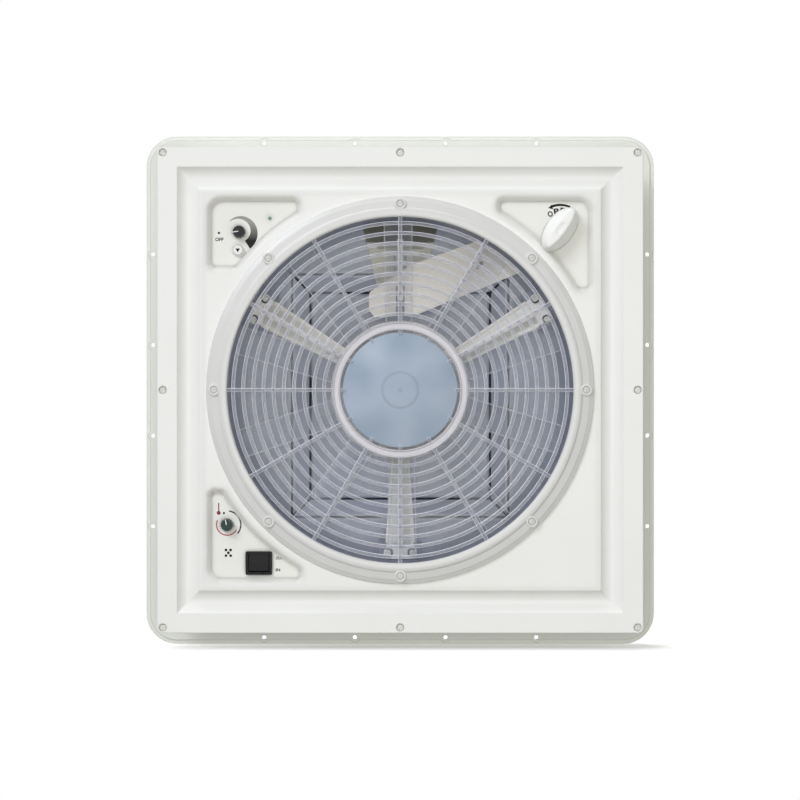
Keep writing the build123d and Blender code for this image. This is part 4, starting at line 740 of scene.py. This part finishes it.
# %% Frosted plastic
def frosted(name, colour, shadow, cover, roughness, grain):
    """Clear plastic with a frosted face: milky, with a fine grain."""
    material, tree, place = blank(name)
    tint = blend(tree, noise(tree, place, 30 * mm), shadow, colour)
    soft = add(tree, "ShaderNodeBevel", {"Radius": 0.5 * mm}, samples=4)
    bump = add(tree, "ShaderNodeBump", {"Height": noise(tree, place, grain), "Strength": 0.08,
                                        "Distance": 0.2 * mm, "Normal": soft.outputs[0]})
    shade(tree, Base_Color=tint, Roughness=roughness, IOR=1.58, Alpha=cover, Normal=bump.outputs[0])
    return material


milky_ring = frosted("frosted_polycarbonate_ring", "#DFDFDD", "#D6D6D4", 0.95, 0.34, 1.1 * mm)
milky_eye = frosted("frosted_polycarbonate_eye", "#DAD8DE", "#CFCFD6", 0.72, 0.2, 1.1 * mm)
print("frosted plastics:", milky_ring.name, milky_eye.name)

# %% [markdown]
# The frosted disc lets the hub behind it show as soft streaks. A see-through material this thin can't
# blur what is behind it, so the streaks are drawn: a wave that follows the angle round the centre is
# added to a slow noise, and the hub's ring and its middle are drawn as faint marks.

# %% Disc material
streak_count = 5
hub_ring, hub_ring_soft = 16.3 * mm, 2.4 * mm
disc_haze, tree, place = blank("frosted_polycarbonate_disc")
across = add(tree, "ShaderNodeSeparateXYZ", {0: place})
angle = calc(tree, "ARCTAN2", across.outputs["Y"], across.outputs["X"])
swing = calc(tree, "SINE", calc(tree, "MULTIPLY", angle, streak_count))
out = add(tree, "ShaderNodeVectorMath", {0: place, 1: (0, 0, grille_back)}, operation="DISTANCE")
out = out.outputs["Value"]
spread = ramp(tree, out, 14 * mm, 44 * mm, 0.0, 0.3, "SMOOTHSTEP")
haze = calc(tree, "ADD", noise(tree, place, 26 * mm, 1.0), calc(tree, "MULTIPLY", swing, spread))
tint = blend(tree, haze, "#92A3B6", "#ABB9C9")
hub_line = ramp(tree, apart(tree, out, hub_ring), 0.0, hub_ring_soft, 0.35, 0.0, "SMOOTHSTEP")
hub_dot = ramp(tree, out, 0.5 * mm, 4.5 * mm, 0.75, 0.0, "SMOOTHSTEP")
tint = blend(tree, calc(tree, "MAXIMUM", hub_line, hub_dot), tint, "#76838C")
shade(tree, Base_Color=tint, Roughness=0.5, IOR=1.58, Alpha=0.93)
print("disc streaks:", streak_count)

# %% [markdown]
# The ring's section steps down from the raised lip by the fan to the thin edge on the trim. Eight bosses
# with a sunk top carry its screws. Lengths in the outlines are millimetres from the axis and from the
# grille's back.

# %% Ring with bosses
screw_circle, screw_count = 168.3 * mm, 8
ring_outline = [(156.6, 0), (156.6, -3.6), (157.0, -4.7), (158.0, -5.2), (163.4, -5.2), (164.5, -4.6),
                (164.9, -3.8), (165.4, -3.6), (170.8, -3.6), (171.7, -3.3), (172.4, -2.5),
                (174.6, -2.4), (175.3, -1.9), (175.6, 0)]
ring = lathe("ring", [(r * mm, grille_back + z * mm) for r, z in ring_outline], 240)
boss_outline = [(1.7, 0), (5.4, 0), (5.4, -4.9), (5.1, -5.2), (3.5, -5.2), (3.3, -5.0), (3.3, -3.6),
                (1.7, -3.6)]
boss = lathe("boss", [(r * mm, grille_back + z * mm) for r, z in boss_outline], 32)
boss.data.transform(Matrix.Translation((screw_circle, 0, 0)))
rim = weld([ring, *ring_of(boss, screw_count)], "grille_rim")
rim.data.materials.append(milky_ring)
print("rim faces:", len(rim.data.polygons))

# %% [markdown]
# A hoop's section is a flat oval with rounded corners, 3.4 mm wide and 2.1 mm deep. It is written as
# four corner arcs of three points each and spun at ten radii. A short bridge joins the disc to the
# channel in line with each spoke.

# %% Hoops and spokes
hoop_first, hoop_last, hoop_count = 68.8 * mm, 151.15 * mm, 10
half_wide, half_deep, corner = 1.7 * mm, 1.05 * mm, 0.85 * mm
section = []
for i, j, turns in ((1, 1, (0, 1, 2)), (-1, 1, (2, 1, 0)), (-1, -1, (0, 1, 2)), (1, -1, (2, 1, 0))):
    for turn in [math.pi / 4 * k for k in turns]:
        section.append((i * (half_wide - corner * (1 - math.cos(turn))),
                        j * (half_deep - corner * (1 - math.sin(turn)))))
hoop_middle = grille_back - 0.7 * mm - half_deep
bars = []
for k in range(hoop_count):
    radius = hoop_first + k * (hoop_last - hoop_first) / (hoop_count - 1)
    bars.append(lathe("hoop", [(radius + u, hoop_middle + v) for u, v in section], 144))
spoke_count = 12
spoke = bar("spoke", (60.75 * mm, -1.7 * mm, grille_low_bar),
            (158 * mm, 1.7 * mm, grille_low_bar + 2.8 * mm))
soften(spoke, 0.8 * mm, 3)
bars += ring_of(spoke, spoke_count)
bridge = bar("bridge", (50 * mm, -1.5 * mm, grille_low_bar),
             (55.2 * mm, 1.5 * mm, grille_low_bar + 1.8 * mm))
soften(bridge, 0.5 * mm, 2)
bars += ring_of(bridge, spoke_count)
clear_bars = weld(bars, "grille_bars")
clear_bars.data.materials.append(clear_bar)
print("hoops:", hoop_count, "spokes:", spoke_count)

# %% Channel and disc
eye_outline = [(54.3, 0.2), (54.3, -2.2), (54.9, -2.8), (55.3, -2.8), (55.8, -2.3), (55.9, -1.2),
               (59.9, -1.2), (60.0, -2.3), (60.5, -2.8), (61.0, -2.8), (61.5, -2.2), (61.5, 0.2)]
eye = lathe("eye", [(r * mm, grille_low_bar + (2.6 + z) * mm) for r, z in eye_outline], 144)
eye.data.materials.append(milky_eye)
disc_outline = [(0, 2.8), (0, 1.4), (51.2, 1.4), (52.0, 1.8), (52.2, 2.3), (52.0, 2.8)]
disc = lathe("disc", [(r * mm, grille_low_bar + z * mm) for r, z in disc_outline], 144)
disc.data.materials.append(disc_haze)
grille = weld([rim, clear_bars, eye, disc], "clear_guard_grille")
pick(grille)
bpy.ops.object.shade_smooth_by_angle(angle=math.radians(50))
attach(grille, "frame")
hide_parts("guard_grille")
print("grille faces:", len(grille.data.polygons), [m.name for m in grille.data.materials])

# %% [markdown]
# ## Tinted acrylic: the dome
# The lid is vacuum-formed smoke acrylic. From inside it looks slate blue, because daylight comes through
# it, and its formed surface has a fine orange-peel texture, drawn here at 1.6 mm. The raised panel has a
# mitred bevel. Its slope is drawn paler, and its folds as dark, more solid lines. All of that follows
# distance from the panel's edges, worked out with a few Math nodes.

# %% Dome
panel_half = (103 * mm, 115.5 * mm)
panel_middle = (0, 5 * mm)
band_wide = 17.3 * mm
fold_wide = 1.7 * mm
smoke, tree, place = blank("tinted_acrylic_dome")
across = add(tree, "ShaderNodeSeparateXYZ", {0: place})


def past_edge(socket, middle, half):
    """How far a point is outside one pair of the panel's edges, along one axis."""
    return calc(tree, "SUBTRACT", apart(tree, across.outputs[socket], middle), half)


def near(value, place_of, width):
    """1 where a value is within half a width of a place, with a soft end."""
    return ramp(tree, apart(tree, value, place_of), width * 0.5, width * 0.8, 1.0, 0.0)


# %% Panel bevel and folds
past_x = past_edge("X", panel_middle[0], panel_half[0])
past_y = past_edge("Y", panel_middle[1], panel_half[1])
past = calc(tree, "MAXIMUM", past_x, past_y)
mitre = calc(tree, "SUBTRACT", past_x, past_y)
band = near(past, -band_wide / 2, band_wide)
fold = calc(tree, "MAXIMUM", near(past, 0.0, fold_wide), near(past, -band_wide, fold_wide))
corner_fold = calc(tree, "MULTIPLY", near(mitre, 0.0, fold_wide * 1.4), band)
fold = calc(tree, "MAXIMUM", fold, corner_fold)
print("dome folds at", [round(v / mm, 1) for v in panel_half], "mm")

# %% Dome colours and surface
peel_size = 1.6 * mm
peel = noise(tree, place, peel_size, 3.0)
mottle = blend(tree, peel, "#62718F", "#8292B4")
slope = blend(tree, band, mottle, "#9DA7C0")
tint = blend(tree, fold, slope, "#2A3040")
bump = add(tree, "ShaderNodeBump", {"Height": peel, "Strength": 0.1, "Distance": 0.3 * mm})
shade(tree, Base_Color=tint, Roughness=0.16, IOR=1.49, Alpha=ramp(tree, fold, 0.0, 1.0, 0.68, 0.94),
      Normal=bump.outputs[0])
dress(smoke, "dome")
print("dome texture:", round(peel_size / mm, 2), "mm")

# %% [markdown]
# ## Cross-recess screws
# The trim's screws are pan heads with a cross recess, turned on the lathe helper and cut with two
# crossed bars. Each copy is turned a little differently, as driven screws are. The steel is coated,
# white on the trim and greyer on the ring and inside, with the soft gloss of a thin paint.


# %% Screws
arm_long, arm_wide = 0.62, 0.13


def cross_screw(name, head_r, head_height, shank_r, length):
    """A pan-head screw whose seat is at height 0 and whose head points down to -Z."""
    outline = [(0, -1), (0.45, -0.97), (0.75, -0.8), (0.93, -0.5), (1.0, -0.15), (1.0, 0)]
    outline = [(r * head_r, z * head_height) for r, z in outline]
    outline += [(shank_r, 0), (shank_r, length - shank_r), (0, length)]
    screw = lathe(name, outline, 32)
    for half_x, half_y in ((arm_long, arm_wide), (arm_wide, arm_long)):
        cutter = bar("recess", (-half_x * head_r, -half_y * head_r, -1.2 * head_height),
                     (half_x * head_r, half_y * head_r, -0.45 * head_height))
        carve(screw, cutter)
    return screw


def screw_set(node, name, points, head_r, head_height, shank_r, material):
    """Copies of one screw at these points, standing for a CAD node of screws."""
    low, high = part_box(node)
    seat = low.z + head_height
    screw = cross_screw(name, head_r, head_height, shank_r, high.z - seat)
    copies = []
    for k, (x, y) in enumerate(points):
        turn = Matrix.Rotation(math.radians(25 + 47 * k), 4, "Z")
        copies.append(copy_to(screw, Matrix.Translation((x, y, seat)) @ turn))
    bpy.data.objects.remove(screw)
    settle(weld(copies, name), "frame", material, (node,))


# %% Coated screws in place
coated = moulded("white_coated_steel", "#EDECE6", "#E6E5DE", 0.34, 0.2 * mm, 0.8 * mm, 6 * mm)
dull_coated = moulded("grey_coated_steel", "#DEDEDA", "#D6D6D2", 0.4, 0.2 * mm, 0.8 * mm, 6 * mm)
dress(dull_coated, "carrier_screws", "track_screws")
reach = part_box("inner_frame_screws")[1].x - 3.5 * mm
trim_points = [(i * reach, j * reach) for i in (-1, 0, 1) for j in (-1, 0, 1) if (i, j) != (0, 0)]
screw_set("inner_frame_screws", "trim_screws", trim_points, 3.0 * mm, 2.2 * mm, 1.9 * mm, coated)
ring_turns = [k * math.tau / screw_count for k in range(screw_count)]
ring_points = [(screw_circle * math.cos(turn), screw_circle * math.sin(turn)) for turn in ring_turns]
screw_set("grille_screws", "ring_screws", ring_points, 3.2 * mm, 1.6 * mm, 1.5 * mm, dull_coated)

# %% [markdown]
# ## Printing
# The panel's marks are pad-printed ink, a film that hardly stands proud. Letters are text objects made
# into meshes; rings and arcs are flat grids whose points are laid round a circle. Everything is given a
# thickness of 0.04 mm, so that it is a closed piece, and lies on the recess floor that carries it. The
# marks are laid out in pixels of the photograph, which one function turns to places at a depth.

# %% Ink
floor_depth = -47 * mm
ink_film = 0.04 * mm
print_pixel = pixel * (floor_depth - camera.location.z) / room_distance


def ink(name, colour):
    """Pad-printing ink: dense, a little glossy, thinner in specks."""
    material, tree, place = blank(name)
    rough = ramp(tree, noise(tree, place, 0.9 * mm), 0.0, 1.0, 0.35, 0.55)
    shade(tree, Base_Color=paint(colour), Roughness=rough, Specular_IOR_Level=0.2)
    return material


print("printing pixel:", round(print_pixel / mm, 3), "mm")


# %% Letters
stroke_growth = 0.035


def letters(text, u, v, high, wide, turn=0.0):
    """Printed letters, centred on a pixel of the photograph, of a height and width in its pixels."""
    bpy.ops.object.select_all(action="DESELECT")
    bpy.ops.object.text_add()
    word = bpy.context.object
    word.data.body = text
    word.data.align_x = "CENTER"
    word.data.align_y = "CENTER"
    word.data.offset = stroke_growth
    pick(word)
    bpy.ops.object.convert(target="MESH")
    size = word.dimensions
    word.scale = (wide * print_pixel / size.x, high * print_pixel / size.y, 1)
    fix_place(word)
    middle = (Vector(word.bound_box[0]) + Vector(word.bound_box[6])) / 2
    word.data.transform(Matrix.Translation(-middle))
    face_room = Matrix.Rotation(math.pi, 4, "X")
    word.data.transform(Matrix.Rotation(-math.radians(turn), 4, "Z") @ face_room)
    word.data.transform(Matrix.Translation(seen_at(u, v, floor_depth)))
    return word


# %% Arcs and dots
def arc(centre, start, end, inner, outer, steps=48):
    """A printed band round a point. Its radii, in photograph pixels, go from a first to a last value;
    its angles run anticlockwise as it is seen."""
    bpy.ops.object.select_all(action="DESELECT")
    bpy.ops.mesh.primitive_grid_add(x_subdivisions=steps, y_subdivisions=1, size=2)
    band = bpy.context.object
    for vertex in band.data.vertices:
        along = (vertex.co.x + 1) / 2
        turn = math.radians(start + along * (end - start))
        first, last = outer if vertex.co.y > 0 else inner
        radius = (first + along * (last - first)) * print_pixel
        vertex.co = (centre[0] + radius * math.cos(turn), centre[1] - radius * math.sin(turn),
                     centre[2])
    return band


def spot(centre, radius, corners=20, turn=0.0):
    """A printed dot or polygon, in photograph pixels."""
    bpy.ops.object.select_all(action="DESELECT")
    bpy.ops.mesh.primitive_circle_add(vertices=corners, radius=radius * print_pixel, fill_type="NGON")
    dot = bpy.context.object
    dot.data.transform(Matrix.Translation(centre) @ Matrix.Rotation(-math.radians(turn), 4, "Z"))
    return dot


# %% Film thickness
def print_on(name, pieces, material):
    """Joins printed shapes, gives them the film's thickness towards the room and settles them."""
    printed = weld(pieces, name)
    outward_faces(printed)
    for polygon in printed.data.polygons:
        if polygon.normal.z > 0:
            polygon.flip()
    film = printed.modifiers.new("film", "SOLIDIFY")
    film.thickness = ink_film
    film.offset = 1
    fix_modifiers(printed)
    settle(printed, "frame", material)


def centre_of(node, depth):
    """The middle of a CAD node, at a depth."""
    low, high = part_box(node)
    return Vector(((low.x + high.x) / 2, (low.y + high.y) / 2, depth))


# %% Centres of the dials, crank and cap
black_ink = ink("black_pad_ink", "#0C0C0D")
speed_middle = centre_of("speed_shaft", floor_depth)
heat_middle = centre_of("thermostat_shaft", floor_depth)
crank_middle = centre_of("crank_shaft", floor_depth)
fuse_middle = centre_of("fuse_cap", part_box("fuse_cap")[0].z)
print("crank middle:", [round(value / mm, 1) for value in crank_middle], "mm")

# %% Black marks
black = [
    letters("OFF", 219.4, 239.4, 3.6, 8.2),
    spot(seen_at(218.9, 233, floor_depth), 1.2),
    letters("OUT", 279.3, 558, 3.0, 7.2),
    letters("IN", 277.9, 569.9, 3.0, 4.4),
    spot(seen_at(223.9, 513.1, floor_depth), 1.1),
]
black += [spot(seen_at(u, v, floor_depth), 1.4)
          for u, v in ((226, 550), (230.6, 550), (228.3, 552.8), (226, 555.6), (230.6, 555.6))]
black.append(arc(crank_middle, 65, 109, (24.4, 23.3), (26.4, 25.9)))
black.append(spot(seen_at(551.0, 207.3, floor_depth), 2.9, 3, -75))
open_u, open_v = 559.6, 229.6
for letter, radius, angle in (("O", 18.2, 121), ("P", 18.7, 100), ("E", 19.2, 81), ("N", 19.6, 62)):
    turn = math.radians(angle)
    letter_at = (open_u + radius * math.cos(turn), open_v - radius * math.sin(turn))
    black.append(letters(letter, *letter_at, 5.6, 5.0, angle - 90))
print_on("printed_black_marks", black, black_ink)

# %% [markdown]
# The band round the speed dial widens and goes from grey to black as the speed rises. Its ink fades
# along Y only, which is near enough on so small a band. The thermometer's stem is a straight stroke,
# drawn as a very narrow arc round a far centre.

# %% Fading band
fading_ink, tree, place = blank("black_pad_ink_fading_to_grey")
across = add(tree, "ShaderNodeVectorMath", {0: place, 1: tuple(speed_middle)}, operation="SUBTRACT")
across = add(tree, "ShaderNodeSeparateXYZ", {0: across.outputs[0]})
tint = blend(tree, ramp(tree, across.outputs["Y"], -9 * mm, 8 * mm), "#9C9C96", "#050505")
shade(tree, Base_Color=tint, Roughness=0.5, Specular_IOR_Level=0.2)
speed_band = arc(speed_middle, 131, -57, (13.9, 10.3), (14.6, 20.0))
print_on("printed_speed_band", [speed_band], fading_ink)

# %% Rings and coloured marks
grey_ink = ink("grey_pad_ink", "#9FA09C")
cap_ring = arc(fuse_middle, 0, 360, (4.6, 4.6), (5.1, 5.1))
print_on("printed_cap_ring", [cap_ring], grey_ink)
print_on("printed_cap_arrow", [spot(fuse_middle, 2.6, 3)], black_ink)
navy_ink = ink("navy_pad_ink", "#2B2F45")
cool_band = arc(heat_middle, 82, -40, (13.0, 13.0), (14.4, 14.4))
print_on("printed_cool_band", [cool_band], navy_ink)
red_ink = ink("red_pad_ink", "#B4545A")
warm_band = arc(heat_middle, -31, -205, (10.0, 10.0), (11.2, 11.2))
print_on("printed_warm_band", [warm_band], red_ink)
rust_ink = ink("rust_pad_ink", "#7A3B36")
bulb = spot(seen_at(218.7, 512.9, floor_depth), 2.0)
stem = arc(seen_at(218.7, 600, floor_depth), 90.35, 89.65, (89, 89), (97, 97), 2)
print_on("printed_thermometer", [bulb, stem], rust_ink)

# %% [markdown]
# Each dial has a white line on its face, which turns with it, so the line rides on the dial's body.

# %% Dial pointers
white_ink = ink("white_pad_ink", "#E8E8E6")
pointer_from, pointer_to, pointer_half = 0.2 * mm, 5.2 * mm, 0.45 * mm
for dial, shaft, turn in (("speed", "speed_shaft", 188), ("thermostat", "thermostat_shaft", 100)):
    knob_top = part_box(dial + "_knob")[0].z
    line = bar(dial + "_line", (pointer_from, -pointer_half, -ink_film), (pointer_to, pointer_half, 0))
    soften(line, 0.015 * mm, 1)
    turned = Matrix.Rotation(-math.radians(turn), 4, "Z")
    line.data.transform(Matrix.Translation(centre_of(shaft, knob_top)) @ turned)
    settle(line, dial + "_dial", white_ink)

# %% [markdown]
# ## Circuit board
# The control board is glass-epoxy laminate under a green solder mask. Copper tracks show through it as
# lighter lines, which a brick pattern at 2.5 mm stands for.

# %% Board laminate
laminate, tree, place = blank("green_solder_mask_laminate")
tracks = add(tree, "ShaderNodeTexBrick", {"Vector": place, "Scale": 1.0, "Brick Width": 11 * mm,
                                          "Row Height": 2.5 * mm, "Mortar Size": 0.35 * mm,
                                          "Color1": paint("#1D5A36"), "Color2": paint("#1A5231"),
                                          "Mortar": paint("#3E8E58")})
shade(tree, Base_Color=tracks.outputs["Color"], Roughness=0.3, IOR=1.55)
dress(laminate, "control_board")
print("materials:", len(bpy.data.materials))
